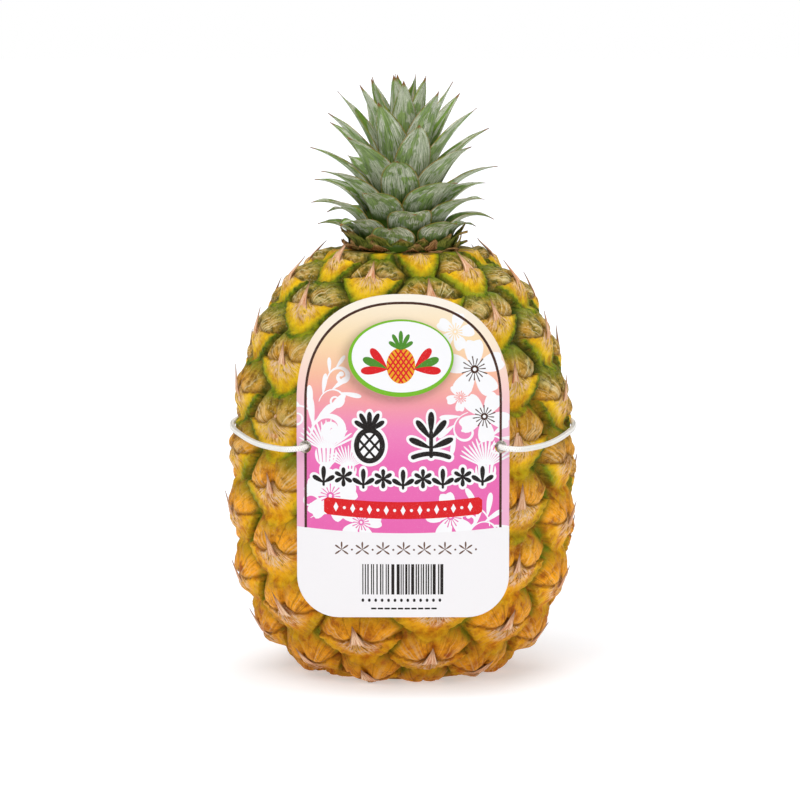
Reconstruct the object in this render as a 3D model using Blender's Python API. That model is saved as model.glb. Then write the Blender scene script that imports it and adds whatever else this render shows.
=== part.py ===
"""Pineapple with its leafy crown, cut stem, hang tag and elastic cord.

Units are metres, +Z is up, the tag faces -Y, and the origin is the middle of the flat face
that the fruit stands on.  Turns are measured from the front (-Y), positive towards +X.
"""

import bisect
import math

import bmesh
import bpy
from mathutils import Vector

MM = 0.001

# ---------------------------------------------------------------- driving dimensions
GAP = 0.3 * MM  # clearance kept between pieces that touch

FRUIT_HEIGHT = 157.0 * MM
FRUIT_RADIUS = 63.0 * MM  # over the tops of the eyes, at the widest place
FOOT_RADIUS = 28.0 * MM  # flat face that it stands on
SHOULDER_RADIUS = 26.0 * MM  # flat top under the crown
# Barrel outline between the foot and the shoulder: share of the height, share of the radius.
FRUIT_OUTLINE = (
    (0.010, 0.540),
    (0.027, 0.627),
    (0.076, 0.770),
    (0.160, 0.890),
    (0.260, 0.968),
    (0.420, 1.000),
    (0.605, 0.981),
    (0.765, 0.897),
    (0.898, 0.730),
    (0.968, 0.532),
)

EYE_COLUMNS = 12  # upright files of eyes round the fruit
EYE_STEP = 5  # each next eye stands this many files further round
EYE_PITCH = 22.95 * MM  # from one eye of a file to the next, along the skin
FIRST_EYE = 0.9 * MM  # along the skin from the edge of the foot
FIRST_EYE_TURN = math.radians(221.8)
GROOVE_DEPTH = 2.4 * MM  # between neighbouring eyes
SPINE_HEIGHT = 3.2 * MM  # how far a bract's spine stands off the skin
BARE_EDGE = 2.5 * MM  # skin without eye relief next to the foot and the shoulder
FLOOR_CLEARANCE = 0.5 * MM  # the relief stays this far above the floor

CUT_STEM_RADIUS = 12.5 * MM
CUT_STEM_LENGTH = 7.0 * MM
CROWN_PLUG_RADIUS = 9.0 * MM
CROWN_PLUG_LENGTH = 6.0 * MM

CROWN_NECK_RADIUS = 15.5 * MM
CROWN_TOP_RADIUS = 1.8 * MM
CROWN_STEM_LENGTH = 40.0 * MM
LEAF_COUNT = 50
LEAF_TURN = math.radians(137.508)  # golden angle from each leaf to the next
LEAF_FIRST_TURN = math.radians(-12.0)
LEAF_HALF_WIDTH_LOW = 7.4 * MM
LEAF_HALF_WIDTH_TOP = 5.0 * MM
LEAF_THICKNESS = 0.9 * MM
LEAF_ROOT_CLEARANCE = 1.0 * MM  # from the stem to the middle of a leaf's root
CROWN_REACH_LOW = 34.0 * MM  # from the crown's heart to the tips of its lowest leaves
CROWN_REACH_TOP = 43.5 * MM  # and to the tips of its upright ones
CROWN_HEART_HEIGHT = 21.0 * MM  # above the fruit

TAG_HALF_WIDTH = 38.0 * MM
TAG_BOTTOM = 30.0 * MM
TAG_HEIGHT = 116.5 * MM
TAG_ARCH_HEIGHT = 39.3 * MM
TAG_ARCH_FULLNESS = 2.3  # 2 is an ellipse, and more is squarer
TAG_CORNER_RADIUS = 15.0 * MM
TAG_THICKNESS = 0.5 * MM
TAG_BEND_RADIUS = 260.0 * MM  # the cord draws its sides back to this curve
TAG_HOLE_RADIUS = 2.25 * MM
TAG_HOLE_INSET = 3.0 * MM  # from the tag's side to the middle of a hole
TAG_HOLE_HEIGHT = 91.5 * MM

CORD_RADIUS = 1.05 * MM
KNOT_RADIUS = 2.7 * MM
CORD_BAND = 4.5 * MM  # spines this near the cord's height are pressed flat under it
# One half of the cord, in millimetres, from the knot behind the tag out through the hole, over
# the tag's edge and round to the middle of the back.  The other half mirrors it.
CORD_HALF_ROUTE_MM = (
    (-34.9, -63.9, 91.5),
    (-35.1, -64.9, 91.5),
    (-35.7, -66.3, 91.4),
    (-37.3, -67.7, 91.3),
    (-39.6, -67.9, 91.1),
    (-41.9, -66.1, 90.8),
    (-44.4, -60.8, 90.3),
    (-48.4, -51.3, 89.7),
    (-52.5, -41.5, 89.4),
    (-56.2, -32.4, 89.7),
    (-59.7, -22.6, 90.4),
    (-62.7, -11.2, 91.0),
    (-63.7, 0.6, 91.4),
    (-62.3, 13.2, 91.5),
    (-57.7, 26.9, 91.6),
    (-48.8, 40.9, 91.6),
    (-36.5, 52.2, 91.7),
    (-21.8, 59.8, 91.7),
    (0.0, 63.7, 91.7),
)
CORD_POINT_SPACING = 5.2 * MM  # at most, from one point of its line to the next

# Relief of one eye: (share of the file spacing, share of the pitch, height in millimetres).
EYE_RELIEF = (
    (0.00, -0.02, 1.4),  # root of the spine, where the bract flares
    (-0.12, 0.05, 0.3),
    (0.12, 0.05, 0.3),
    (-0.29, 0.21, 0.0),  # domed sepals on both sides of the spine
    (0.29, 0.21, 0.0),
    (-0.43, -0.03, -0.6),  # wings of the bract
    (0.43, -0.03, -0.6),
    (-0.22, -0.22, -0.6),  # its lower edge
    (0.22, -0.22, -0.6),
    (0.00, -0.31, -1.0),
)
SPINE_TIP = (0.0, 0.38)
# Places half way to the neighbouring eyes and where three eyes meet, down in the grooves.
GROOVE_POINTS = (
    (0.00, 0.52),
    (-0.50, 0.208),
    (0.50, 0.292),
    (-0.333, 0.472),
    (0.333, 0.528),
)

ROUND_SIDES = 24
SMOOTH_ANGLE = math.radians(40)


# ---------------------------------------------------------------- shared helpers
def clear_scene():
    for thing in list(bpy.data.objects):
        bpy.data.objects.remove(thing, do_unlink=True)


def finish(name, colour, roughness):
    """A plain Principled material."""
    made = bpy.data.materials.new(name)
    made.use_nodes = True
    shader = made.node_tree.nodes["Principled BSDF"]
    shader.inputs["Base Color"].default_value = (*colour, 1.0)
    shader.inputs["Roughness"].default_value = roughness
    shader.inputs["Metallic"].default_value = 0.0
    return made


def object_from(name, bm, material, smooth=True):
    """Closes a bmesh into a named object of its own, facing out."""
    bmesh.ops.recalc_face_normals(bm, faces=bm.faces)
    mesh = bpy.data.meshes.new(name)
    bm.to_mesh(mesh)
    bm.free()
    if smooth:
        mesh.shade_smooth()
        mesh.set_sharp_from_angle(angle=SMOOTH_ANGLE)
    mesh.materials.append(material)
    made = bpy.data.objects.new(name, mesh)
    bpy.context.scene.collection.objects.link(made)
    return made


def around(radius, turn, height):
    """A point at this distance from the fruit's axis, turned from the front."""
    return Vector((radius * math.sin(turn), -radius * math.cos(turn), height))


def smooth_curve(points, pieces):
    """Catmull-Rom curve through the points, with pieces(a, b) steps from each point to the next."""
    pts = [Vector(p) for p in points]
    padded = [2 * pts[0] - pts[1], *pts, 2 * pts[-1] - pts[-2]]
    read = []
    for a, b, c, d in zip(padded, padded[1:], padded[2:], padded[3:]):
        count = pieces(b, c)
        for k in range(count):
            t = k / count
            along = (c - a) * t + (2 * a - 5 * b + 4 * c - d) * t**2
            read.append(b + 0.5 * (along + (3 * b - a - 3 * c + d) * t**3))
    read.append(pts[-1])
    return read


def turned(name, outline, material):
    """A solid of revolution; the outline runs from the top of the axis down to its bottom."""
    bm = bmesh.new()
    rings = []
    for radius, height in outline:
        sides = ROUND_SIDES if radius > 0 else 1
        ring = [around(radius, math.tau * k / ROUND_SIDES, height) for k in range(sides)]
        rings.append([bm.verts.new(p) for p in ring])
    for upper, lower in zip(rings, rings[1:]):
        for k in range(ROUND_SIDES):
            n = k + 1
            corners = (
                upper[k % len(upper)],
                lower[k % len(lower)],
                lower[n % len(lower)],
                upper[n % len(upper)],
            )
            bm.faces.new(tuple(dict.fromkeys(corners)))
    return object_from(name, bm, material)


# ---------------------------------------------------------------- fruit
class Skin:
    """The fruit's outer outline, read by the distance along it from the foot's edge."""

    STEPS = 32  # from each point of the outline to the next

    def __init__(self):
        outline = [Vector((FOOT_RADIUS, 0.0, 0.0))]
        for height_share, radius_share in FRUIT_OUTLINE:
            outline.append(
                Vector((radius_share * FRUIT_RADIUS, 0.0, height_share * FRUIT_HEIGHT))
            )
        outline.append(Vector((SHOULDER_RADIUS, 0.0, FRUIT_HEIGHT)))
        self.points = smooth_curve(outline, lambda a, b: self.STEPS)
        self.travelled = [0.0]
        for a, b in zip(self.points, self.points[1:]):
            self.travelled.append(self.travelled[-1] + (b - a).length)
        self.length = self.travelled[-1]

    def at(self, distance):
        """(radius, height) of the outline there."""
        distance = max(0.0, min(self.length, distance))
        after = min(max(bisect.bisect_left(self.travelled, distance), 1), len(self.points) - 1)
        start, end = self.travelled[after - 1], self.travelled[after]
        share = (distance - start) / (end - start)
        point = self.points[after - 1].lerp(self.points[after], share)
        return point.x, point.z

    def lifted(self, distance, turn, lift):
        """A point this far off the skin, along its normal."""
        step = 0.5 * MM
        low_r, low_z = self.at(distance - step)
        high_r, high_z = self.at(distance + step)
        along = Vector((high_r - low_r, high_z - low_z)).normalized()
        radius, height = self.at(distance)
        height = max(height - along.x * lift, FLOOR_CLEARANCE)
        return around(radius + along.y * lift, turn, height)


def eyes(skin):
    """(turn, distance along the skin) of every eye, from the foot up."""
    rise = EYE_PITCH / EYE_COLUMNS
    found = []
    for k in range(int(skin.length / rise) + 1):
        turn = FIRST_EYE_TURN - k * math.tau * EYE_STEP / EYE_COLUMNS
        found.append((turn, FIRST_EYE + k * rise))
    return found


def under_cord(skin, low, high):
    """Whether the cord crosses the stretch of skin between these two distances."""
    heights = sorted((skin.at(low)[1], skin.at(high)[1]))
    return heights[0] < TAG_HOLE_HEIGHT + CORD_BAND and heights[1] > TAG_HOLE_HEIGHT - CORD_BAND


def fruit_points(skin):
    """(turn, distance along the skin, position) for the relief of all the eyes."""
    file_width = math.tau / EYE_COLUMNS
    found = []

    def add(turn, distance, lift):
        if BARE_EDGE < distance < skin.length - BARE_EDGE:
            found.append((turn, distance, skin.lifted(distance, turn, lift)))

    for turn, distance in eyes(skin):
        top = distance + SPINE_TIP[1] * EYE_PITCH
        pressed = under_cord(skin, distance, top)
        for across, along, lift_mm in EYE_RELIEF:
            lift = min(lift_mm * MM, 0.0) if pressed else lift_mm * MM
            add(turn + across * file_width, distance + along * EYE_PITCH, lift)
        add(turn + SPINE_TIP[0] * file_width, top, 0.0 if pressed else SPINE_HEIGHT)
        for across, along in GROOVE_POINTS:
            add(turn + across * file_width, distance + along * EYE_PITCH, -GROOVE_DEPTH)
    return found


def fruit(material):
    """The whole fruit as one solid: every eye's dome, bract and spine, and the two end sockets."""
    skin = Skin()
    stem_socket = CUT_STEM_RADIUS + GAP
    crown_socket = CROWN_PLUG_RADIUS + GAP
    stem_depth = CUT_STEM_LENGTH + GAP
    crown_depth = CROWN_PLUG_LENGTH + GAP
    # Distances along the outline beyond its two ends, where the end faces and sockets lie.
    foot_rings = (
        (0.0, FOOT_RADIUS, 0.0),
        (FOOT_RADIUS - stem_socket, stem_socket, 0.0),
        (FOOT_RADIUS - stem_socket + stem_depth, stem_socket, stem_depth),
    )
    shoulder_rings = (
        (0.0, SHOULDER_RADIUS, FRUIT_HEIGHT),
        (SHOULDER_RADIUS - crown_socket, crown_socket, FRUIT_HEIGHT),
        (SHOULDER_RADIUS - crown_socket + crown_depth, crown_socket, FRUIT_HEIGHT - crown_depth),
    )
    lowest = -(foot_rings[-1][0] + stem_socket)
    highest = skin.length + shoulder_rings[-1][0] + crown_socket
    places = fruit_points(skin)
    for side, start, rings in ((-1, 0.0, foot_rings), (1, skin.length, shoulder_rings)):
        for beyond, radius, height in rings:
            for k in range(ROUND_SIDES):
                turn = math.tau * k / ROUND_SIDES
                places.append((turn, start + side * beyond, around(radius, turn, height)))
    places.append((0.0, lowest, Vector((0.0, 0.0, stem_depth))))
    places.append((0.0, highest, Vector((0.0, 0.0, FRUIT_HEIGHT - crown_depth))))
    # The same points laid out on a ball: its convex hull says which of them are neighbours.
    bm = bmesh.new()
    for turn, distance, _ in places:
        polar = math.pi * (distance - lowest) / (highest - lowest)
        bm.verts.new(around(math.sin(polar), turn, -math.cos(polar)))
    bmesh.ops.convex_hull(bm, input=bm.verts[:])
    bm.verts.index_update()
    for vert, (_, _, position) in zip(bm.verts, places):
        vert.co = position
    return object_from("fruit", bm, material)


# ---------------------------------------------------------------- stems
def cut_stem(material):
    """Stub of the stalk, cut flush with the foot."""
    face = 1.0 * MM
    outline = (
        (0.0, CUT_STEM_LENGTH),
        (CUT_STEM_RADIUS, CUT_STEM_LENGTH),
        (CUT_STEM_RADIUS, face),
        (CUT_STEM_RADIUS - face * 0.5, 0.0),
        (0.0, 0.0),
    )
    return turned("cut_stem", outline, material)


def neck_radius(height):
    """Radius of the crown's stem at this height above the fruit."""
    share = max(0.0, min(1.0, height / CROWN_STEM_LENGTH))
    return CROWN_NECK_RADIUS + (CROWN_TOP_RADIUS - CROWN_NECK_RADIUS) * share**1.4


def crown_stem(material):
    """Short stem that the leaves grow from, with its root in the top of the fruit."""
    rounds = (1.0, 0.75, 0.5, 0.25, 0.0)
    outline = [(0.0, FRUIT_HEIGHT + CROWN_STEM_LENGTH + CROWN_TOP_RADIUS)]
    for share in rounds:
        height = GAP + share * (CROWN_STEM_LENGTH - GAP)
        outline.append((neck_radius(height), FRUIT_HEIGHT + height))
    outline.append((CROWN_PLUG_RADIUS, FRUIT_HEIGHT + GAP))
    outline.append((CROWN_PLUG_RADIUS, FRUIT_HEIGHT - CROWN_PLUG_LENGTH))
    outline.append((0.0, FRUIT_HEIGHT - CROWN_PLUG_LENGTH))
    return turned("crown_stem", outline, material)


# ---------------------------------------------------------------- crown leaves
def leaf_line(share):
    """Root, control point and tip of a leaf's midline, as (distance from the axis, height)."""
    root_height = 2.2 * MM + share * (CROWN_STEM_LENGTH - 5.0 * MM)
    root = Vector(
        (neck_radius(root_height) + LEAF_ROOT_CLEARANCE, FRUIT_HEIGHT + root_height)
    )
    lean = math.radians(-24.0 + 110.0 * share)
    eased = share * share * (3 - 2 * share)
    reach = CROWN_REACH_LOW + (CROWN_REACH_TOP - CROWN_REACH_LOW) * eased
    heart = FRUIT_HEIGHT + CROWN_HEART_HEIGHT
    tip = Vector((reach * math.cos(lean), heart + reach * math.sin(lean)))
    rise = math.radians(46.0 + 42.0 * share)
    rooted = 0.45 * (tip - root).length
    control = root + rooted * Vector((math.cos(rise), math.sin(rise)))
    return root, control, tip


# Along a leaf: share of its length, share of its greatest half width.
LEAF_STATIONS = ((0.0, 0.80), (0.16, 0.97), (0.36, 1.0), (0.58, 0.80), (0.80, 0.44))
LEAF_SIDES = (-1.0, -0.5, 0.0, 0.5, 1.0)
MOST_WRAP = 0.80  # radians that half a leaf may wrap round the stem


def crown_leaf(index, material):
    """A channelled, pointed leaf that lies on its own bowl, clear of the bowls below and above."""
    share = index / (LEAF_COUNT - 1)
    turn = LEAF_FIRST_TURN + index * LEAF_TURN
    widest = LEAF_HALF_WIDTH_LOW + (LEAF_HALF_WIDTH_TOP - LEAF_HALF_WIDTH_LOW) * share
    root, control, tip = leaf_line(share)
    bm = bmesh.new()
    rings = []
    for along, width_share in LEAF_STATIONS:
        middle = root.lerp(control, along).lerp(control.lerp(tip, along), along)
        slope = (control - root).lerp(tip - control, along).normalized()
        wrap = min(width_share * widest / middle.x, MOST_WRAP)
        thickness = LEAF_THICKNESS * (1.0 - 0.4 * along)

        def skin_point(side, face):
            half = face * 0.5 * thickness * (1 - side * side)
            radius = middle.x - slope.y * half
            return around(radius, turn + side * wrap, middle.y + slope.x * half)

        upper = [skin_point(side, 1) for side in LEAF_SIDES]
        lower = [skin_point(side, -1) for side in LEAF_SIDES[-2:0:-1]]
        rings.append([bm.verts.new(p) for p in upper + lower])
    count = len(rings[0])
    for near, far in zip(rings, rings[1:]):
        for k in range(count):
            n = (k + 1) % count
            bm.faces.new((near[k], near[n], far[n], far[k]))
    point = bm.verts.new(around(tip.x, turn, tip.y))
    for k in range(count):
        bm.faces.new((rings[-1][k], rings[-1][(k + 1) % count], point))
    bm.faces.new(rings[0][::-1])
    return object_from(f"crown_leaf_{index:02d}", bm, material)


# ---------------------------------------------------------------- hang tag
TAG_BACK = -(FRUIT_RADIUS + SPINE_HEIGHT + GAP)  # y of its back face at the middle


def tag_set_back(x):
    """How far the bend carries the tag backwards at this distance from its middle."""
    return TAG_BEND_RADIUS - math.sqrt(TAG_BEND_RADIUS**2 - x * x)


def tag_outline():
    """The tag's outline in its own plane: a full arch over straight sides and round corners."""
    points = []
    spring = TAG_BOTTOM + TAG_HEIGHT - TAG_ARCH_HEIGHT
    power = 2.0 / TAG_ARCH_FULLNESS
    for k in range(33):
        angle = math.pi * k / 32
        across = math.copysign(abs(math.cos(angle)) ** power, math.cos(angle))
        x = TAG_HALF_WIDTH * across
        points.append((x, spring + TAG_ARCH_HEIGHT * math.sin(angle) ** power))
    for side, first in ((-1, math.pi), (1, 1.5 * math.pi)):
        for k in range(9):
            angle = first + 0.5 * math.pi * k / 8
            x = side * (TAG_HALF_WIDTH - TAG_CORNER_RADIUS) + TAG_CORNER_RADIUS * math.cos(angle)
            points.append((x, TAG_BOTTOM + TAG_CORNER_RADIUS * (1 + math.sin(angle))))
    return points


def cutter(name, outline):
    """A prism along Y over the outline, longer than the tag is deep."""
    bm = bmesh.new()
    near, far = TAG_BACK - 12 * MM, TAG_BACK + 12 * MM
    front = [bm.verts.new((x, near, z)) for x, z in outline]
    back = [bm.verts.new((x, far, z)) for x, z in outline]
    bm.faces.new(front)
    bm.faces.new(back[::-1])
    for k in range(len(outline)):
        n = (k + 1) % len(outline)
        bm.faces.new((front[k], back[k], back[n], front[n]))
    made = object_from(name, bm, finish(name, (0.5, 0.5, 0.5), 0.5), smooth=False)
    made.hide_render = True
    made.display_type = "WIRE"
    return made


def hang_tag(material):
    """A bent card blank, trimmed to the outline and pierced for the cord."""
    bm = bmesh.new()
    strips = 16
    margin = 2.0 * MM
    reach = TAG_HALF_WIDTH + margin
    low, high = TAG_BOTTOM - margin, TAG_BOTTOM + TAG_HEIGHT + margin
    rings = []
    for k in range(strips + 1):
        x = reach * (2 * k / strips - 1)
        back = TAG_BACK + tag_set_back(x)
        front = back - TAG_THICKNESS
        corners = ((x, front, low), (x, back, low), (x, back, high), (x, front, high))
        rings.append([bm.verts.new(c) for c in corners])
    for near, far in zip(rings, rings[1:]):
        for k in range(4):
            n = (k + 1) % 4
            bm.faces.new((near[k], near[n], far[n], far[k]))
    bm.faces.new(rings[0])
    bm.faces.new(rings[-1][::-1])
    tag = object_from("hang_tag", bm, material)
    trim = tag.modifiers.new("trim", "BOOLEAN")
    trim.operation = "INTERSECT"
    trim.object = cutter("tag_trim_cutter", tag_outline())
    for name, side in (("left", -1), ("right", 1)):
        middle = side * (TAG_HALF_WIDTH - TAG_HOLE_INSET)
        ring = []
        for k in range(16):
            angle = math.tau * k / 16
            x = middle + TAG_HOLE_RADIUS * math.cos(angle)
            ring.append((x, TAG_HOLE_HEIGHT + TAG_HOLE_RADIUS * math.sin(angle)))
        hole = tag.modifiers.new(f"hole_{name}", "BOOLEAN")
        hole.operation = "DIFFERENCE"
        hole.object = cutter(f"tag_hole_cutter_{name}", ring)
    return tag


# ---------------------------------------------------------------- elastic cord
def elastic_cord(material):
    """The elastic, drawn round the fruit from one knot to the other."""
    half = [Vector(p) * MM for p in CORD_HALF_ROUTE_MM]
    other = [Vector((-p.x, p.y, p.z)) for p in half[-2::-1]]
    points = smooth_curve(half + other, lambda a, b: math.ceil((b - a).length / CORD_POINT_SPACING))
    curve = bpy.data.curves.new("elastic_cord", "CURVE")
    curve.dimensions = "3D"
    curve.bevel_depth = CORD_RADIUS
    curve.bevel_resolution = 2
    curve.use_fill_caps = True
    spline = curve.splines.new("POLY")
    spline.points.add(len(points) - 1)
    for place, point in zip(spline.points, points):
        place.co = (*point, 1.0)
    curve.materials.append(material)
    made = bpy.data.objects.new("elastic_cord", curve)
    bpy.context.scene.collection.objects.link(made)
    return made


def cord_knot(side_name, side, material):
    """The knot that keeps one end of the cord from slipping through the tag."""
    across = TAG_HALF_WIDTH - TAG_HOLE_INSET
    behind = 0.5 * MM  # it sits this far behind the tag's back face
    y = TAG_BACK + tag_set_back(across) + behind + KNOT_RADIUS
    bm = bmesh.new()
    bmesh.ops.create_icosphere(bm, subdivisions=2, radius=KNOT_RADIUS)
    made = object_from(f"cord_knot_{side_name}", bm, material)
    made.location = (side * across, y, TAG_HOLE_HEIGHT)
    return made


# ---------------------------------------------------------------- the whole object
def main():
    clear_scene()
    rind = finish("rind", (0.62, 0.33, 0.05), 0.55)
    stalk = finish("stalk", (0.55, 0.45, 0.28), 0.85)
    leaf = finish("leaf", (0.22, 0.33, 0.20), 0.50)
    card = finish("card", (0.90, 0.70, 0.75), 0.35)
    elastic = finish("elastic", (0.88, 0.88, 0.85), 0.80)
    fruit(rind)
    cut_stem(stalk)
    crown_stem(stalk)
    for index in range(LEAF_COUNT):
        crown_leaf(index, leaf)
    hang_tag(card)
    elastic_cord(elastic)
    for side_name, side in (("left", -1), ("right", 1)):
        cord_knot(side_name, side, elastic)


main()
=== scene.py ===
# %% [markdown]
# # A pineapple with a hang tag
#
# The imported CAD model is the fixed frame: it gives every size and place.  This script builds the
# looks around it, piece by piece: the elastic cord, the scaly fruit, the crown of leaves and the
# printed card.  Everything is in metres, the tag faces -Y, and the fruit stands on z = 0.

# %% Load the frame
import math
import random

import bpy
import numpy as np
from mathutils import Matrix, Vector, noise
from mathutils.geometry import delaunay_2d_cdt


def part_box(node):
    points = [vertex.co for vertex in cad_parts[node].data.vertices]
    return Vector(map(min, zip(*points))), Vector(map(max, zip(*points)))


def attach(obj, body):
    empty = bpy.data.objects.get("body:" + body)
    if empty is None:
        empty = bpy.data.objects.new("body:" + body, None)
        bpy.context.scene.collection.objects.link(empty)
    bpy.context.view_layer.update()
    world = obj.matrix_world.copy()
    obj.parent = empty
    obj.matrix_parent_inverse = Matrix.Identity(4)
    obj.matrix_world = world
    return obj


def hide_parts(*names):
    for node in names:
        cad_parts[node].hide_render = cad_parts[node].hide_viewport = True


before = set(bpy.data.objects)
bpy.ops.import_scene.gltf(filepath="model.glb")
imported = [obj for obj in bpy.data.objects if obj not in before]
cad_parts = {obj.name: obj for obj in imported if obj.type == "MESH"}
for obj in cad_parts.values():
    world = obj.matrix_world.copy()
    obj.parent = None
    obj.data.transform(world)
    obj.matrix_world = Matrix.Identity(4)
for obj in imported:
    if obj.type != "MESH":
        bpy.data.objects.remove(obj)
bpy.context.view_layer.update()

MM = 0.001

# %% [markdown]
# ## Camera
#
# A long lens far away keeps upright things upright, as in a catalogue.  The camera looks down a
# little, at the middle of the height.

# %% Camera
CAMERA_ELEVATION = math.radians(7.0)
CAMERA_DISTANCE = 1.5
CAMERA_LENS = 181.0
SENSOR_WIDTH = 36.0
CAMERA_AIM = Vector((-1.1 * MM, 0.0, 100.4 * MM))

back_off = Vector((0.0, -math.cos(CAMERA_ELEVATION), math.sin(CAMERA_ELEVATION)))
camera = bpy.data.objects.new("camera", bpy.data.cameras.new("camera"))
camera.data.lens = CAMERA_LENS
camera.data.sensor_width = SENSOR_WIDTH
camera.location = CAMERA_AIM + back_off * CAMERA_DISTANCE
camera.rotation_mode = "QUATERNION"
camera.rotation_quaternion = (-back_off).to_track_quat("-Z", "Y")
bpy.context.scene.collection.objects.link(camera)
bpy.context.scene.camera = camera
print("camera at", [round(v, 3) for v in camera.location])

# %% [markdown]
# ## Studio
#
# Broad soft lights: the strongest is overhead, and weaker ones come from behind and from both
# sides of the front, so that only a soft shadow lies at the foot.  The camera sees a plain white
# world, while what stands in it is lit by a dimmer one.

# %% Studio lights and world
bpy.context.scene.view_settings.view_transform = "Standard"
WORLD_STRENGTH = 0.32
LIGHTS = (
    # name, direction that it comes from, apparent width in degrees, strength
    ("light_overhead", (-0.14, -0.35, 1.0), 50, 1.5),
    ("light_front_left", (-0.60, -1.0, 0.85), 25, 0.80),
    ("light_front_right", (0.95, -0.85, 0.60), 50, 0.64),
    ("light_behind", (0.25, 0.8, 1.2), 40, 0.85),
)

world = bpy.data.worlds.new("studio")
world.use_nodes = True
nodes, links = world.node_tree.nodes, world.node_tree.links
sky = nodes["Background"]
seen = nodes.new("ShaderNodeBackground")
for background, strength in ((sky, WORLD_STRENGTH), (seen, 1.0)):
    background.inputs["Color"].default_value = (1.0, 1.0, 1.0, 1.0)
    background.inputs["Strength"].default_value = strength
ray = nodes.new("ShaderNodeLightPath")
chosen = nodes.new("ShaderNodeMixShader")
links.new(ray.outputs["Is Camera Ray"], chosen.inputs[0])
links.new(sky.outputs[0], chosen.inputs[1])
links.new(seen.outputs[0], chosen.inputs[2])
links.new(chosen.outputs[0], nodes["World Output"].inputs["Surface"])
bpy.context.scene.world = world
for light_name, direction, width, strength in LIGHTS:
    lamp = bpy.data.lights.new(light_name, "SUN")
    lamp.angle = math.radians(width)
    lamp.energy = strength
    light = bpy.data.objects.new(light_name, lamp)
    light.rotation_mode = "QUATERNION"
    light.rotation_quaternion = Vector(direction).to_track_quat("Z", "Y")
    bpy.context.scene.collection.objects.link(light)
print(len(LIGHTS), "lights")

# %% [markdown]
# ## Helpers for materials
#
# A material is a graph of nodes.  `Value` wraps one output of a node, so that masks are added and
# multiplied as plain Python sums, and `Look` makes every other node from one method.

# %% Shader helpers
def maths(operation, swapped=False):
    """A method that makes a Math node of a value and another one."""

    def method(self, other=0.0):
        sockets = {0: other, 1: self} if swapped else {0: self, 1: other}
        return self.look.node("ShaderNodeMath", {"operation": operation}, sockets)

    return method


class Value:
    """One output of a node, with the arithmetic that masks need."""

    def __init__(self, look, output):
        self.look = look
        self.output = output

    __add__ = __radd__ = maths("ADD")
    __mul__ = __rmul__ = maths("MULTIPLY")
    __sub__ = maths("SUBTRACT")
    __rsub__ = maths("SUBTRACT", swapped=True)
    __truediv__ = maths("DIVIDE")
    __abs__ = maths("ABSOLUTE")
    sine = maths("SINE")
    most = maths("MAXIMUM")

    def ramp(self, low, high):
        """0 below low, 1 above high, and an eased slope between them."""
        settings = {"interpolation_type": "SMOOTHSTEP"}
        return self.look.node("ShaderNodeMapRange", settings, {0: self, 1: low, 2: high})


def tint(code):
    """A display colour such as "D9A41E" as the linear colour that shaders use."""
    display = [int(code[k : k + 2], 16) / 255 for k in (0, 2, 4)]
    linear = [v / 12.92 if v <= 0.04045 else ((v + 0.055) / 1.055) ** 2.4 for v in display]
    return (*linear, 1.0)


class Look:
    """A material and its nodes."""

    def __init__(self, name):
        self.material = bpy.data.materials.new(name)
        self.material.use_nodes = True
        self.tree = self.material.node_tree
        self.tree.nodes.clear()

    def node(self, kind, settings=None, sockets=None, out=0):
        """Makes a node: its settings first, then its sockets from values or links."""
        made = self.tree.nodes.new(kind)
        for name, value in (settings or {}).items():
            setattr(made, name, value)
        for key, value in (sockets or {}).items():
            if isinstance(value, Value):
                self.tree.links.new(value.output, made.inputs[key])
            else:
                made.inputs[key].default_value = value
        return Value(self, made.outputs[out]) if len(made.outputs) else None

    def mask(self, name):
        """A number kept on the mesh's points."""
        return self.node("ShaderNodeAttribute", {"attribute_name": name}, out="Fac")

    def colour(self, name):
        """A colour kept on the mesh."""
        return self.node("ShaderNodeAttribute", {"attribute_name": name}, out="Color")

    def place(self):
        """Where the point is on the object, in metres."""
        return self.node("ShaderNodeTexCoord", out="Object")

    def part(self, vector, axis):
        """One of the three numbers of a vector."""
        return self.node("ShaderNodeSeparateXYZ", sockets={0: vector}, out=axis)

    def join(self, x, y, z=0.0):
        """A vector from three numbers."""
        return self.node("ShaderNodeCombineXYZ", sockets={0: x, 1: y, 2: z})

    def cloud(self, vector, scale, detail=3.0, roughness=0.55):
        """Soft noise, around a half."""
        sockets = {"Vector": vector, "Scale": scale, "Detail": detail, "Roughness": roughness}
        return self.node("ShaderNodeTexNoise", sockets=sockets)

    def spots(self, vector, scale):
        """Distance to the nearest of many scattered points."""
        return self.node("ShaderNodeTexVoronoi", sockets={"Vector": vector, "Scale": scale})

    def blend(self, first, second, share):
        """A colour part of the way from the first to the second; a text is a display colour."""
        first, second = (tint(c) if isinstance(c, str) else c for c in (first, second))
        settings = {"data_type": "RGBA", "clamp_factor": True}
        return self.node("ShaderNodeMix", settings, {0: share, 6: first, 7: second}, out=2)

    def coats(self, base, *coats):
        """Colours laid over a base one after another, each with its share."""
        for colour, share in coats:
            base = self.blend(base, colour, share)
        return base

    def finish(self, base, roughness, relief=None, depth=0.0, **fixed):
        """Closes the material with its one shader."""
        sockets = {"Base Color": base, "Roughness": roughness}
        if relief is not None:
            bump = {"Height": relief, "Distance": depth, "Strength": 1.0}
            sockets["Normal"] = self.node("ShaderNodeBump", sockets=bump)
        for name, value in fixed.items():
            sockets[name.replace("_", " ")] = value
        shader = self.node("ShaderNodeBsdfPrincipled", sockets=sockets)
        self.node("ShaderNodeOutputMaterial", sockets={"Surface": shader})
        print("material", self.material.name, "with", len(self.tree.nodes), "nodes")
        return self.material


# %% [markdown]
# ## Floor
#
# A plain pale sheet of matt board, with only a breath of tone in it.  It gives off some light of
# its own, so that it stays white right up to the shadow.

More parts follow.
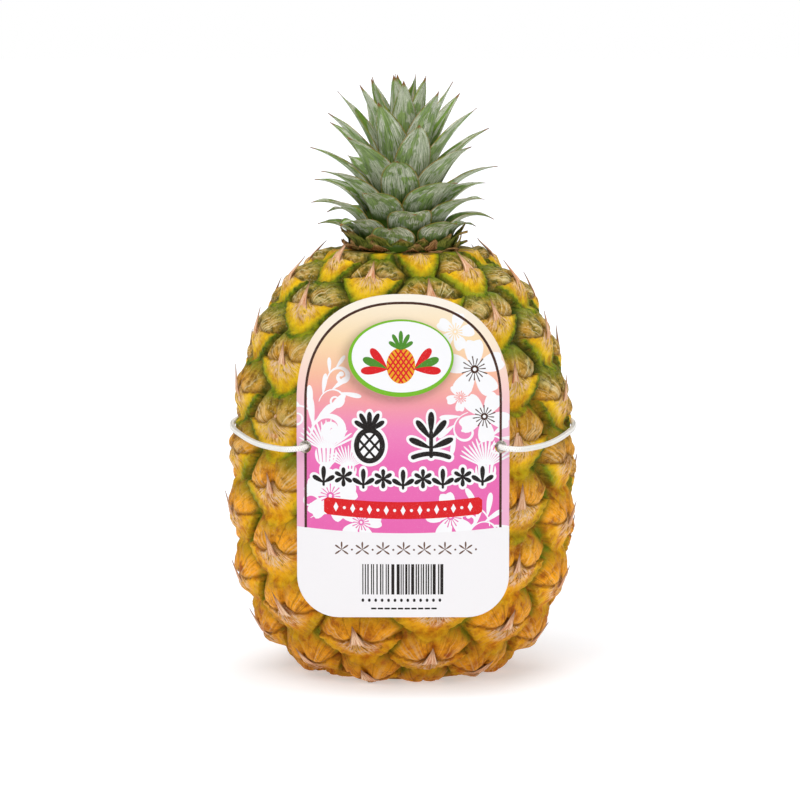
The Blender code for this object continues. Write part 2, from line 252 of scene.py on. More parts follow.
# %% Floor
def floor_finish():
    look = Look("floor_board")
    tone = look.cloud(look.place(), 3.0).ramp(0.3, 0.7)
    base = look.blend("D0D3D8", "D4D7DB", tone)
    return look.finish(base, 0.9, Specular_IOR_Level=0.1, Emission_Strength=0.42)


FLOOR_HALF = 6.0
FLOOR_DROP = 0.1 * MM  # the foot and the floor never share a plane
floor_mesh = bpy.data.meshes.new("floor")
square = ((-1, -1), (1, -1), (1, 1), (-1, 1))
corners = [(x * FLOOR_HALF, y * FLOOR_HALF, -FLOOR_DROP) for x, y in square]
floor_mesh.from_pydata(corners, [], [(0, 1, 2, 3)])
floor_mesh.materials.append(floor_finish())
floor = bpy.data.objects.new("floor", floor_mesh)
bpy.context.scene.collection.objects.link(floor)

# %% [markdown]
# ## Helpers for shapes
#
# Each piece is worked out as arrays of points and faces, and one function turns the arrays into
# an object that rides on the frame.  Numbers that the finish needs later, such as how far along a
# leaf a point lies, are kept on the points by name.

# %% Shape helpers
def new_piece(name, points, faces, material, stands_for=(), masks=None, smooth=True):
    """Makes a mesh object, gives it its masks and finish, and lets it ride on the frame."""
    mesh = bpy.data.meshes.new(name)
    mesh.from_pydata([tuple(p) for p in points], [], [tuple(f) for f in faces])
    for mask_name, values in (masks or {}).items():
        kept = mesh.attributes.new(mask_name, "FLOAT", "POINT")
        kept.data.foreach_set("value", np.asarray(values, np.float32).ravel())
    if smooth:
        mesh.shade_smooth()
    mesh.materials.append(material)
    made = bpy.data.objects.new(name, mesh)
    bpy.context.scene.collection.objects.link(made)
    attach(made, "root")
    if stands_for:
        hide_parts(*stands_for)
    return made


def tube_faces(rows, columns, first=0):
    """Faces over closed rows of points, from the first point on, with both ends shut."""
    row, column = np.meshgrid(np.arange(rows - 1), np.arange(columns), indexing="ij")
    following = (column + 1) % columns
    low, high = first + row * columns, first + (row + 1) * columns
    quads = (low + column, low + following, high + following, high + column)
    foot, top = (range(start, start + columns) for start in (first, first + (rows - 1) * columns))
    return [*np.stack(quads, axis=-1).reshape(-1, 4).tolist(), list(foot)[::-1], list(top)]


def add_point(points, masks, place, *values):
    """One more point, with the value that each mask has there."""
    points.append(place)
    for kept, value in zip(masks.values(), values):
        kept.append(value)


def blade_loop(count):
    """Round a thin blade, as (side, face): across its upper skin and back under it."""
    sides = np.linspace(-1, 1, count)
    return [(side, 1) for side in sides] + [(side, -1) for side in sides[::-1][1:-1]]


def around(radius, turn, height):
    """A point at this distance from the fruit's axis, turned from the front."""
    return Vector((radius * math.sin(turn), -radius * math.cos(turn), height))


def smooth_curve(points, pieces):
    """Catmull-Rom curve through the points, with pieces(a, b) steps from each to the next."""
    pts = [Vector(p) for p in points]
    padded = [2 * pts[0] - pts[1], *pts, 2 * pts[-1] - pts[-2]]
    read = []
    for a, b, c, d in zip(padded, padded[1:], padded[2:], padded[3:]):
        count = pieces(b, c)
        for k in range(count):
            t = k / count
            along = (c - a) * t + (2 * a - 5 * b + 4 * c - d) * t**2
            read.append(b + 0.5 * (along + (3 * b - a - 3 * c + d) * t**3))
    read.append(pts[-1])
    return read


def eased(values, low, high):
    """0 below low, 1 above high, and a smooth slope between them."""
    share = np.clip((values - low) / (high - low), 0.0, 1.0)
    return share * share * (3 - 2 * share)


# %% [markdown]
# ## Elastic cord
#
# On the real thing it is a round braided elastic, drawn tight round the fruit from a knot behind
# one hole of the tag to a knot behind the other.  A curve with a round bevel would do, but a tube
# made point by point can carry the braid's own relief.

# %% Cord route
CORD_RADIUS = 1.05 * MM
CORD_HALF_ROUTE = (
    (-0.0349, -0.0639, 0.0915),
    (-0.0351, -0.0649, 0.0915),
    (-0.0357, -0.0663, 0.0914),
    (-0.0373, -0.0677, 0.0913),
    (-0.0396, -0.0679, 0.0911),
    (-0.0419, -0.0661, 0.0908),
    (-0.0444, -0.0608, 0.0903),
    (-0.0484, -0.0513, 0.0897),
    (-0.0525, -0.0415, 0.0894),
    (-0.0562, -0.0324, 0.0897),
    (-0.0597, -0.0226, 0.0904),
    (-0.0627, -0.0112, 0.0910),
    (-0.0637, 0.0006, 0.0914),
    (-0.0623, 0.0132, 0.0915),
    (-0.0577, 0.0269, 0.0916),
    (-0.0488, 0.0409, 0.0916),
    (-0.0365, 0.0522, 0.0917),
    (-0.0218, 0.0598, 0.0917),
    (0.0, 0.0637, 0.0917),
)
CORD_STEP = 0.42 * MM


def mirrored(half):
    """A route that goes on from its middle point as the mirror of its first half."""
    return [*half, *[(-x, y, z) for x, y, z in half[-2::-1]]]


def cord_steps(a, b):
    return math.ceil((b - a).length / CORD_STEP)


cord_line = smooth_curve(mirrored(CORD_HALF_ROUTE), cord_steps)

# %% Cord finish
STRANDS = 8
WAVES = STRANDS / 2  # half of the strands wind each way
BRAID_TURNS_PER_MM = 0.30


def cord_finish():
    look = Look("braided_elastic")
    turns = look.mask("along") * (BRAID_TURNS_PER_MM * math.tau)
    angle = look.mask("around") * (WAVES * math.tau)
    braid = (angle + turns * WAVES).sine().most((angle - turns * WAVES).sine())
    shade = look.cloud(look.place(), 900.0)
    # Painted shade: the hollows between the strands are painted darker, with a random mottle over the
    # whole cord.
    hollow_shade = 1 - braid.ramp(-0.1, 0.6)
    base = look.blend("FCFAF4", "DDD9CE", hollow_shade * 0.75 + shade * 0.2)
    return look.finish(base, 0.75, braid + shade * 0.3, 0.08 * MM, Sheen_Weight=0.3)


cord_material = cord_finish()

# %% Cord tube
CORD_SIDES = 16
CORD_RELIEF = 0.035  # depth of the braid, as a share of the radius


def tube(line, radius, sides, relief):
    """Points, faces and masks of a tube along a line, with the braid's hollows and round ends."""
    points, masks = [], {"along": [], "around": []}
    travelled = 0.0
    side = Vector((0.0, 0.0, 1.0))
    for k, middle in enumerate(line):
        ahead = (line[min(k + 1, len(line) - 1)] - line[max(k - 1, 0)]).normalized()
        side = (side - ahead * side.dot(ahead)).normalized()
        other = ahead.cross(side)
        travelled += (middle - line[k - 1]).length if k else 0.0
        for s in range(sides):
            share = s / sides
            angle = share * math.tau
            wind = travelled / MM * BRAID_TURNS_PER_MM * math.tau * WAVES
            strand = angle * WAVES
            raised = max(math.sin(strand + wind), math.sin(strand - wind))
            reach = radius * (1 + relief * (raised - 1))
            sideways = side * (reach * math.cos(angle)) + other * (reach * math.sin(angle))
            add_point(points, masks, middle + sideways, travelled / MM, share)
    return points, tube_faces(len(line), sides), masks


points, faces, masks = tube(cord_line, CORD_RADIUS, CORD_SIDES, CORD_RELIEF)
cord = new_piece("braided_cord", points, faces, cord_material, ["elastic_cord"], masks)
print(cord.name, "has", len(cord.data.polygons), "faces")

# %% [markdown]
# ## Knots
#
# Each end is tied in an overhand knot behind its hole, so that it can't slip through.  The knot's
# line is the trefoil that every overhand knot makes, drawn tight.

# %% Knots
KNOT_STEPS = 140
KNOT_START = 0.6  # radians
KNOT_SIZE = 0.60 * MM
KNOT_DEPTH = 1.35  # as a share of its size
KNOT_TUBE = 0.86 * MM
KNOT_SIDES = 12
KNOT_RELIEF = 0.03


def knot_piece(side_name, node):
    low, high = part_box(node)
    middle = (low + high) / 2
    line = []
    for k in range(KNOT_STEPS + 1):
        t = math.tau * k / KNOT_STEPS + KNOT_START
        x = math.sin(t) + 2 * math.sin(2 * t)
        z = math.cos(t) - 2 * math.cos(2 * t)
        y = -KNOT_DEPTH * math.sin(3 * t)
        line.append(middle + Vector((x, y, z)) * KNOT_SIZE)
    points, faces, masks = tube(line, KNOT_TUBE, KNOT_SIDES, KNOT_RELIEF)
    return new_piece(f"tied_knot_{side_name}", points, faces, cord_material, [node], masks)


knots = [knot_piece("left", "cord_knot_left"), knot_piece("right", "cord_knot_right")]
print("knots:", [k.name for k in knots])

# %% [markdown]
# ## Skin of the fruit
#
# A pineapple is many small fruits grown together.  Each one shows an eye: a low dome, with a bract
# under it whose wings spread left and right and whose dry tip stands up over the dome.  The eyes
# follow two families of spirals, 12 upright files with each next eye five files further round.
# Sculpting a hundred eyes by hand would take days, so one fine grid is wrapped on the outline and
# every eye writes its own relief and its own masks into it.

# %% Outline of the fruit
FRUIT_HEIGHT = 157.0 * MM
FRUIT_RADIUS = 63.0 * MM
FOOT_RADIUS = 28.0 * MM
SHOULDER_RADIUS = 26.0 * MM
FRUIT_OUTLINE = (
    (0.010, 0.540),
    (0.027, 0.627),
    (0.076, 0.770),
    (0.160, 0.890),
    (0.260, 0.968),
    (0.420, 1.000),
    (0.605, 0.981),
    (0.765, 0.897),
    (0.898, 0.730),
    (0.968, 0.532),
)

OUTLINE_STEPS = 32

outline = [(FOOT_RADIUS, 0.0, 0.0)]
outline += [(across * FRUIT_RADIUS, 0.0, up * FRUIT_HEIGHT) for up, across in FRUIT_OUTLINE]
outline.append((SHOULDER_RADIUS, 0.0, FRUIT_HEIGHT))
skin_line = np.array([tuple(p) for p in smooth_curve(outline, lambda a, b: OUTLINE_STEPS)])
step_lengths = np.linalg.norm(np.diff(skin_line, axis=0), axis=1)
skin_travel = np.concatenate([[0.0], np.cumsum(step_lengths)])
SKIN_LENGTH = skin_travel[-1]
print("along the skin:", round(SKIN_LENGTH / MM, 1), "mm")

SLOPE_STEP = 0.5 * MM  # to each side, where the slope of the skin is read


def on_skin(distance, turn, lift):
    """Points lifted off the skin: distance along it from the foot, and turn from the front."""
    near_by = [distance + s for s in (-SLOPE_STEP, 0.0, SLOPE_STEP)]
    read = [np.interp(d, skin_travel, skin_line[:, 0]) for d in near_by]
    rise = [np.interp(d, skin_travel, skin_line[:, 2]) for d in near_by]
    run_r, run_z = read[2] - read[0], rise[2] - rise[0]
    size = np.hypot(run_r, run_z)
    radius = read[1] + run_z / size * lift
    height = rise[1] - run_r / size * lift
    return np.stack([radius * np.sin(turn), -radius * np.cos(turn), height], axis=-1)


# %% Where the eyes are
EYE_COLUMNS = 12
EYE_STEP = 5
EYE_PITCH = 22.95 * MM
FIRST_EYE = 0.9 * MM
FIRST_EYE_TURN = math.radians(221.8)
SPARE_EYES = 10  # beyond each end, whose edges still show
# How far an eye strays: round the fruit in radians, along it in mm, and the slant of its tip.
TURN_STRAY, RISE_STRAY, LEAN_STRAY = 0.012, 0.35, 0.05

dice = random.Random(12)
file_width = math.tau / EYE_COLUMNS
eye_rise = EYE_PITCH / EYE_COLUMNS
eye_list = []
for k in range(-SPARE_EYES, int(SKIN_LENGTH / eye_rise) + SPARE_EYES):
    turn = FIRST_EYE_TURN - k * math.tau * EYE_STEP / EYE_COLUMNS
    eye_list.append(
        {
            "turn": turn + dice.gauss(0, TURN_STRAY),
            "distance": FIRST_EYE + k * eye_rise + dice.gauss(0, RISE_STRAY) * MM,
            "whim": dice.random(),
            "lean": dice.gauss(0, LEAN_STRAY),
        }
    )
print(len(eye_list), "eyes, some of them beyond the ends")

# %% Relief of one eye
SKIN_COLUMNS = 576
SKIN_ROWS = 344
GROOVE = -3.4  # millimetres, like all the heights of the relief
WING = 0.59  # half the spread of a bract, in files
DOME_REACH = (0.60, 0.50)  # size of a dome's cell across and along
RIM = 0.07  # width of a bract's rim and of the crease above it, in pitches
CREASE_DEPTH = 0.6


def dome_relief(across, along, whim):
    """Pits and folds of the eye itself: sepals that meet round the root of the bract's tip."""
    crease = np.exp(-((across / 0.04) ** 2)) * eased(along, 0.08, 0.2) * 0.7
    fold = np.exp(-(((np.abs(across) - 0.33 + 0.6 * (along - 0.2)) / 0.03) ** 2)) * 0.55
    cheeks = 1.3 * np.exp(-(((np.abs(across) - 0.20) / 0.13) ** 2) - ((along - 0.20) / 0.16) ** 2)
    pit_side = 0.10 * np.sign(whim - 0.4)
    pit = np.exp(-(((across - pit_side) / 0.04) ** 2) - ((along - 0.07) / 0.04) ** 2)
    return cheeks - crease * 1.3 - fold - pit * 0.8, pit


def bract_edges(across, lean):
    """Upper and lower edge of a bract at this place across it."""
    spread = np.clip(np.abs(across - lean * 0.5) / WING, 0, 1)
    upper = 0.045 + 0.075 * spread**2 + 0.14 * np.exp(-((across / 0.10) ** 2))
    lower = -0.54 + 0.63 * spread**1.55
    return upper, lower


def bract_relief(across, along):
    """The bract: it swells at the root of its tip and thins out to its wings."""
    swell = 2.2 * np.exp(-((across / 0.17) ** 2) - ((along + 0.02) / 0.18) ** 2)
    keel = 0.45 * np.exp(-((across / 0.045) ** 2)) * eased(along, -0.45, -0.05)
    ribs = 0.22 * np.sin(np.arctan2(across, 0.16 - along) * 26)
    return 0.1 + swell + keel + ribs - 1.9 * eased(-along, 0.10, 0.52)


# %% Write every eye into the grid
turns = np.linspace(0.0, math.tau, SKIN_COLUMNS, endpoint=False)
distances = np.linspace(0.0, SKIN_LENGTH, SKIN_ROWS)
shape = (SKIN_ROWS, SKIN_COLUMNS)
layer_names = ("bract", "edge", "root", "ray", "pit", "whim", "crown_side", "pale", "rim")
FAR_OFF = 9.0
layers = {name: np.zeros(shape) for name in layer_names}
nearest, second = np.full(shape, FAR_OFF), np.full(shape, FAR_OFF)
detail = np.zeros(shape)


def near(eye, low, high, width):
    """The part of the grid round an eye, with each point's place across and along the eye."""
    off = (distances - eye["distance"]) / EYE_PITCH
    rows = np.where((off > low) & (off < high))[0]
    gap = (turns - eye["turn"] + math.pi) % math.tau - math.pi
    columns = np.where(np.abs(gap) < width * file_width)[0]
    across, along = np.meshgrid(gap[columns] / file_width, off[rows])
    return np.ix_(rows, columns), across, along


def write_layers(spot, where, written):
    """Writes masks into the grid, where the eye has the say."""
    for name, values in written.items():
        layers[name][spot] = np.where(where, values, layers[name][spot])


for eye in eye_list:
    spot, across, along = near(eye, -0.85, 1.25, 1.25)
    if not across.size:
        continue
    reach = np.hypot(across / DOME_REACH[0], (along - 0.20) / DOME_REACH[1])
    relief, pit = dome_relief(across, along, eye["whim"])
    closer = reach < nearest[spot]
    second[spot] = np.where(closer, nearest[spot], np.minimum(second[spot], reach))
    nearest[spot] = np.where(closer, reach, nearest[spot])
    detail[spot] = np.where(closer, relief, detail[spot])
    pale = np.exp(-(((np.abs(across) - 0.26) / 0.20) ** 2) - ((along - 0.20) / 0.20) ** 2)
    written = {
        "pit": pit,
        "whim": eye["whim"],
        "crown_side": eased(along, 0.25, 0.6),
        "pale": pale,
        "ray": np.arctan2(across, along + 0.15),
    }
    write_layers(spot, closer, written)
cushion = np.clip((second - nearest) / 0.62, 0, 1) ** 0.7
lift = GROOVE + 2.8 * cushion + 1.9 * np.clip(1 - nearest**2, 0, 1) * cushion
lift += detail * eased(cushion, 0.2, 0.8)
layers["groove"] = 1 - eased(cushion, 0.30, 0.85)

dome_lift = lift.copy()
for eye in eye_list:
    spot, across, along = near(eye, -0.55, 0.22, 0.75)
    if not across.size:
        continue
    upper, lower = bract_edges(across, eye["lean"])
    covered = (along < upper) & (along > lower) & (np.abs(across) < WING)
    form = np.maximum(bract_relief(across, along), dome_lift[spot] + 0.45)
    rim = np.minimum(along - lower, upper - along) / RIM
    form = form - 0.3 * (1 - np.clip(rim, 0, 1))
    lift[spot] = np.where(covered, form, lift[spot])
    # Painted shade: the crease above each bract is dug into the relief, and its depth, kept as the
    # mask "rim", is painted dark brown in the finish.
    crease = (along >= upper) & (along < upper + RIM) & (np.abs(across) < WING)
    depth = np.where(crease, 1 - (along - upper) / RIM, 0.0)
    lift[spot] -= CREASE_DEPTH * depth
    write_layers(spot, crease, {"rim": depth})
    skirt = (along < upper) & (along > lower - RIM) & (layers["bract"][spot] < 0.5)
    write_layers(spot, skirt & (np.abs(across) < WING + 0.05), {"edge": 1.0})
    written = {
        "bract": 1.0,
        "edge": eased(lower + 0.30 - along, 0.0, 0.30),
        # on the bract, "rim" marks its upper edge along the crease, which the finish paints darker as
        # shade
        "rim": 1 - eased(upper - along, 0.0, 0.045),
        "root": 1 - eased(np.hypot(across, along - 0.06), 0.04, 0.44),
        "ray": np.arctan2(across, 0.16 - along),
        "whim": eye["whim"],
    }
    written.update(dict.fromkeys(("pit", "crown_side", "pale", "groove"), 0.0))
    write_layers(spot, covered, written)
print("relief from", round(float(lift.min()), 2), "to", round(float(lift.max()), 2), "mm")

# %% [markdown]
# The grid is fine enough for wrinkles too.  The relief fades at the foot and at the shoulder, and
# stays low where the cord lies, as the elastic presses it flat.  Behind the tag it stays clear of
# the card.

# %% Wrap the grid round the outline
CORD_HEIGHT = 90.8 * MM
BARE_EDGE = 3.0 * MM
WRINKLE = 0.22
WRINKLE_SCALE = 420.0
LEAST_FOOT = 0.35 * MM  # the relief stays this far off the floor
BEHIND_TAG = (40 * MM, 150 * MM, -66.2 * MM)  # half width, height and furthest forward

grid_distance, grid_turn = np.meshgrid(distances, turns, indexing="ij")
flat = on_skin(grid_distance, grid_turn, 0.0)
wrinkles = [noise.fractal(Vector(p) * WRINKLE_SCALE, 0.9, 2.0, 3) for p in flat.reshape(-1, 3)]
lift += np.array(wrinkles).reshape(shape) * WRINKLE
under_cord = 0.2 + np.clip(np.abs(flat[..., 2] - CORD_HEIGHT) / MM - 1.6, 0, None) * 0.8
lift = np.minimum(lift, under_cord)
to_top = SKIN_LENGTH - grid_distance
fade = eased(grid_distance, 0.0, 2 * BARE_EDGE) * eased(to_top, 0.0, BARE_EDGE)
skin_points = on_skin(grid_distance, grid_turn, lift * fade * MM)
skin_x, skin_y, skin_z = (skin_points[..., axis] for axis in range(3))
skin_z[:] = np.maximum(skin_z, LEAST_FOOT * eased(grid_distance, 0.0, 1.5 * MM))
behind_tag = (np.abs(skin_x) < BEHIND_TAG[0]) & (skin_z < BEHIND_TAG[1])
skin_y[:] = np.where(behind_tag, np.maximum(skin_y, BEHIND_TAG[2]), skin_y)
print("skin of", SKIN_ROWS * SKIN_COLUMNS, "points")

# %% [markdown]
# ## Finish of the skin
#
# Near the crown the bracts are bright yellow with olive edges and the domes grey-green with pale
# specks.  Lower down everything ripens to orange gold, and green is left only in the seams, which
# are also painted darker as shade in the grooves.  The crease above each bract and the pit at the
# root of each tip are painted dark as shade too.  Dry pinkish fibres fan out from the root of every
# tip.  All of that follows the masks of the eyes.

# %% Skin finish
def skin_finish():
    look = Look("ripe_rind")
    place = look.place()
    names = ("whim", "pale", "root", "rim", "edge", "crown_side")
    whim, pale, root, rim, edge, crown_side = (look.mask(name) for name in names)
    up = look.part(place, "Z") / FRUIT_HEIGHT
    drift = look.cloud(place, 38.0, 2.0)
    green_side = (up + drift * 0.7).ramp(0.62, 1.22)
    fine = look.cloud(place, 1400.0, 4.0, 0.7)
    medium = look.cloud(place, 330.0, 4.0, 0.62)
    broad = look.cloud(place, 130.0, 3.0)
    specks = 1 - look.spots(place, 850.0).ramp(0.12, 0.45)
    rays = look.cloud(look.join(look.mask("ray") * 7, root * 1.5, whim * 20), 2.0, 3.0)

    green_dome = look.coats(
        look.blend("4E4C08", "C4B040", (medium * 0.7 + fine * 0.4).ramp(0.42, 0.75)),
        ("D3CB94", pale * medium.ramp(0.40, 0.68) * 0.85),
        ("C88A1C", (1 - crown_side) * (broad * 0.5 + medium * 0.6).ramp(0.42, 0.66) * 0.6),
    )
    ripe_pale = pale * fine.ramp(0.45, 0.7) * broad.ramp(0.4, 0.6)
    leafy = (0.55 + green_side * 0.4) * (broad * 0.7 + medium * 0.5).ramp(0.4, 0.7)
    dome = look.coats(
        look.blend("A24C02", "FFAA0C", (medium * 0.6 + broad * 0.5).ramp(0.34, 0.64)),
        (green_dome, green_side),
        ("FBD07A", ripe_pale * (1 - green_side) * 0.6),
        ("F3ECCB", specks * (0.1 + green_side * 0.4) * fine.ramp(0.46, 0.64)),
        ("607808", crown_side * leafy),
        ("F3E3B4", rays.ramp(0.52, 0.62) * pale * (0.3 + green_side * 0.3)),
        ("6A4408", (1 - rays.ramp(0.34, 0.44)) * 0.45),
        # painted shade in the crease above each bract, darker brown
        ("5C3406", rim * (0.45 + medium.ramp(0.4, 0.6) * 0.45)),
    )

    mottle = medium * 0.6 + broad * 0.6
    gold = look.blend("C86C04", "FFB610", mottle.ramp(0.42, 0.72))
    yellow = look.blend("C98C04", "FFD016", mottle.ramp(0.40, 0.74))
    olive = look.blend("3A5004", "88970E", (medium * 0.6 + fine * 0.4).ramp(0.38, 0.66))
    unripe = edge * (0.35 + green_side * 0.7) * (broad + whim * 0.3).ramp(0.32, 0.72)
    unripe = unripe.most((edge - 0.35).ramp(0.0, 0.6) * green_side.ramp(0.05, 0.6))
    blush = look.cloud(place, 75.0, 3.0).ramp(0.50, 0.66) * (0.2 + green_side * 0.4)
    dry = (root * (1.7 - green_side * 0.35) - 0.15).ramp(0.0, 1.0)
    bract = look.coats(
        gold,
        (yellow, (up + drift * 0.4).ramp(0.40, 0.95)),
        (olive, unripe),
        ("A2A414", blush * edge.ramp(0.0, 0.4)),
        ("F6CFA8", dry * (0.14 + rays.ramp(0.47, 0.58) * 0.8)),
        ("6E3A0C", root.ramp(0.1, 0.7) * (1 - rays.ramp(0.32, 0.43)) * 0.85),
        # painted shade along the bract's upper edge, where it meets the crease
        ("8E4A0C", rim * medium.ramp(0.40, 0.62) * (1 - green_side * 0.6)),
    )

    # The seams between the domes are green, darkest olive near the crown: partly their own colour,
    # partly painted shade in the grooves.
    seam = look.coats("80560A", ("5C7A08", broad.ramp(0.36, 0.52)), ("2F3C04", green_side))
    base = look.coats(
        dome,
        (bract, look.mask("bract")),
        (seam, look.mask("groove") * (0.5 + broad.ramp(0.35, 0.6) * 0.4)),
        # painted shade in the pit at the root of each tip
        ("3A1C06", (look.mask("pit") * 1.5).ramp(0.4, 1.0) * 0.8),
        ("7A4A10", look.cloud(place, 210.0, 4.0, 0.7).ramp(0.60, 0.72) * 0.6),
        ("8E4404", (1 - up.ramp(0.02, 0.28)) * 0.30),
    )
    roughness = 0.42 + fine * 0.3 + root * 0.15
    relief = fine * 0.7 + medium * 1.4 + rays * (root * 1.8 + 0.5)
    return look.finish(base, roughness, relief, 0.6 * MM, Specular_IOR_Level=0.14)


# %% Skin piece
STEM_SOCKET = (12.8 * MM, 7.3 * MM)  # radius and depth
CROWN_SOCKET = (9.3 * MM, 6.3 * MM)
SOCKET_END = 0.4 * MM  # radius of the small face that shuts a socket


def ring(radius, height):
    """A level ring of the grid's own turns."""
    level = np.full(SKIN_COLUMNS, height)
    return np.stack([radius * np.sin(turns), -radius * np.cos(turns), level], axis=-1)


stem_radius, stem_top = STEM_SOCKET
crown_radius, crown_depth = CROWN_SOCKET
below = [ring(SOCKET_END, stem_top), ring(stem_radius, stem_top), ring(stem_radius, 0.0)]
above = [ring(crown_radius, FRUIT_HEIGHT)]
above += [ring(r, FRUIT_HEIGHT - crown_depth) for r in (crown_radius, SOCKET_END)]
points = np.concatenate([below, skin_points, above])
ends = ((len(below), len(above)), (0, 0))
masks = {name: np.pad(values, ends) for name, values in layers.items()}
faces = tube_faces(len(points), SKIN_COLUMNS)
points = points.reshape(-1, 3)
skin = new_piece("fruit_skin", points, faces, skin_finish(), ["fruit"], masks)
print(skin.name, "has", len(skin.data.polygons), "faces")

# %% [markdown]
# ## Tips of the bracts
#
# Every bract ends in a dry, keeled thorn as thin as paper at its edges.  It starts as a broad
# papery base on the bract, narrows at once, and stands a few millimetres off the dome.  They are
# built as one mesh of thin closed blades, since a grid on the skin can't hang over itself.

# %% Bract tips
TIP_STATIONS = 13
TIP_SIDES = 10
TIP_ROOT = 0.20  # pitches below the middle of its eye
BARE_FOOT, BARE_TOP = 6 * MM, 5 * MM  # no tips this near to the ends of the skin
LOW_ROWS = 25 * MM
FRONT_ARC = math.radians(42)
CORD_BAND = 9 * MM


def tip_finish():
    look = Look("dry_bract_tip")
    along, side = look.mask("along"), look.mask("side")
    threads = look.cloud(look.join(side * 5, along * 1.3, look.mask("seed") * 30), 2.2, 4.0, 0.65)
    fibre = threads.ramp(0.36, 0.64)
    dark_end = along.ramp(0.6, 1.0) * 0.7
    base = look.coats(
        look.blend("C07040", "FBDAB4", fibre),
        (look.blend("C98A1E", "E8B04A", fibre), 0.45 * (1 - along.ramp(0.05, 0.5))),
        ("6A3A18", dark_end.most(abs(side).ramp(0.75, 1.0) * 0.6)),
    )
    return look.finish(base, 0.7, threads, 0.25 * MM, Specular_IOR_Level=0.15)


def bract_tip(eye, points, faces, masks):
    """Adds one blade: rings of points along its middle line, flattened and keeled."""
    first = len(points)
    here = [float(np.interp(eye["distance"], skin_travel, line)) for line in skin_line.T]
    radius, height = here[0], here[2]
    facing = abs((eye["turn"] + math.pi) % math.tau - math.pi) < FRONT_ARC
    pressed = abs(height + 5 * MM - CORD_HEIGHT) < CORD_BAND
    length = 0.34 + 0.13 * eye["whim"]
    width = (4.4 + 1.3 * eye["whim"]) * MM
    stand = 2.7 if facing else 3.0 + 1.3 * eye["whim"]
    if height < LOW_ROWS:
        length, width, stand = length + 0.04, width * 1.35, 2.2
    sway = eye["lean"] * 9 * MM
    for k in range(TIP_STATIONS):
        t = k / (TIP_STATIONS - 1)
        distance = eye["distance"] + (-TIP_ROOT + (length + TIP_ROOT) * t) * EYE_PITCH
        raised = -0.5 + 2.2 * float(eased(np.array(t), 0.0, 0.45)) + (stand - 1.1) * t**1.6
        if pressed:
            raised = min(raised, 0.35)
        half = width * ((1 - t) ** 2.6 * 0.55 + 0.45 * (1 - t) ** 0.9) + 0.06 * MM
        thick = (0.8 * (1 - t) + 0.14) * MM * (0.5 if pressed else 1.0)
        for s in range(TIP_SIDES):
            angle = math.tau * s / TIP_SIDES
            out, keel = math.cos(angle), math.sin(angle)
            drop = 1.2 * (out * half / width) ** 2 * (1 - t) ** 2 * MM
            turn = eye["turn"] + (out * half + sway * t * t) / max(radius, 20 * MM)
            off = raised * MM + keel * thick * (1.0 if keel > 0 else 0.5) - drop
            place = on_skin(np.array(distance), np.array(turn), off)
            place[2] = max(place[2], 0.3 * MM)
            add_point(points, masks, place, t, out, eye["whim"])
    faces += tube_faces(TIP_STATIONS, TIP_SIDES, first)


points, faces, masks = [], [], {"along": [], "side": [], "seed": []}
for eye in eye_list:
    if BARE_FOOT < eye["distance"] < SKIN_LENGTH - BARE_TOP:
        bract_tip(eye, points, faces, masks)
tips = new_piece("bract_tips", points, faces, tip_finish(), ["fruit"], masks)
print(tips.name, "has", len(tips.data.polygons), "faces")

# %% [markdown]
# ## Crown
#
# The crown is a rosette: every leaf sits on the stem one golden angle further round and a little
# higher, so that no leaf quite covers another.  Each one lies on its own bowl round the stem,
# which keeps neighbours apart, and is built as two skins joined at a thin, finely toothed margin.

# %% Midline of a leaf
CROWN_NECK_RADIUS = 15.5 * MM
CROWN_TOP_RADIUS = 1.8 * MM
CROWN_STEM_LENGTH = 40.0 * MM
LEAF_COUNT = 50
LEAF_TURN = math.radians(137.508)
LEAF_FIRST_TURN = math.radians(-12.0)
LEAF_ROOT_CLEARANCE = 1.0 * MM
CROWN_REACH_LOW = 34.0 * MM
CROWN_REACH_TOP = 43.5 * MM
CROWN_HEART_HEIGHT = 21.0 * MM


def neck_radius(height):
    """Radius of the crown's stem at this height above the fruit."""
    share = max(0.0, min(1.0, height / CROWN_STEM_LENGTH))
    return CROWN_NECK_RADIUS + (CROWN_TOP_RADIUS - CROWN_NECK_RADIUS) * share**1.4


def leaf_line(share):
    """Root, control point and tip of a leaf's midline, as (distance from the axis, height)."""
    root_height = 2.2 * MM + share * (CROWN_STEM_LENGTH - 5.0 * MM)
    root = Vector((neck_radius(root_height) + LEAF_ROOT_CLEARANCE, FRUIT_HEIGHT + root_height))
    lean = math.radians(-24.0 + 110.0 * share)
    swing = share * share * (3 - 2 * share)
    reach = CROWN_REACH_LOW + (CROWN_REACH_TOP - CROWN_REACH_LOW) * swing
    reach += 3.0 * MM * math.exp(-(((math.degrees(lean) - 56) / 20) ** 2))
    heart = FRUIT_HEIGHT + CROWN_HEART_HEIGHT
    tip = Vector((reach * math.cos(lean), heart + reach * math.sin(lean)))
    rise = math.radians(46.0 + 42.0 * share)
    rooted = 0.45 * (tip - root).length
    control = root + rooted * Vector((math.cos(rise), math.sin(rise)))
    return root, control, tip


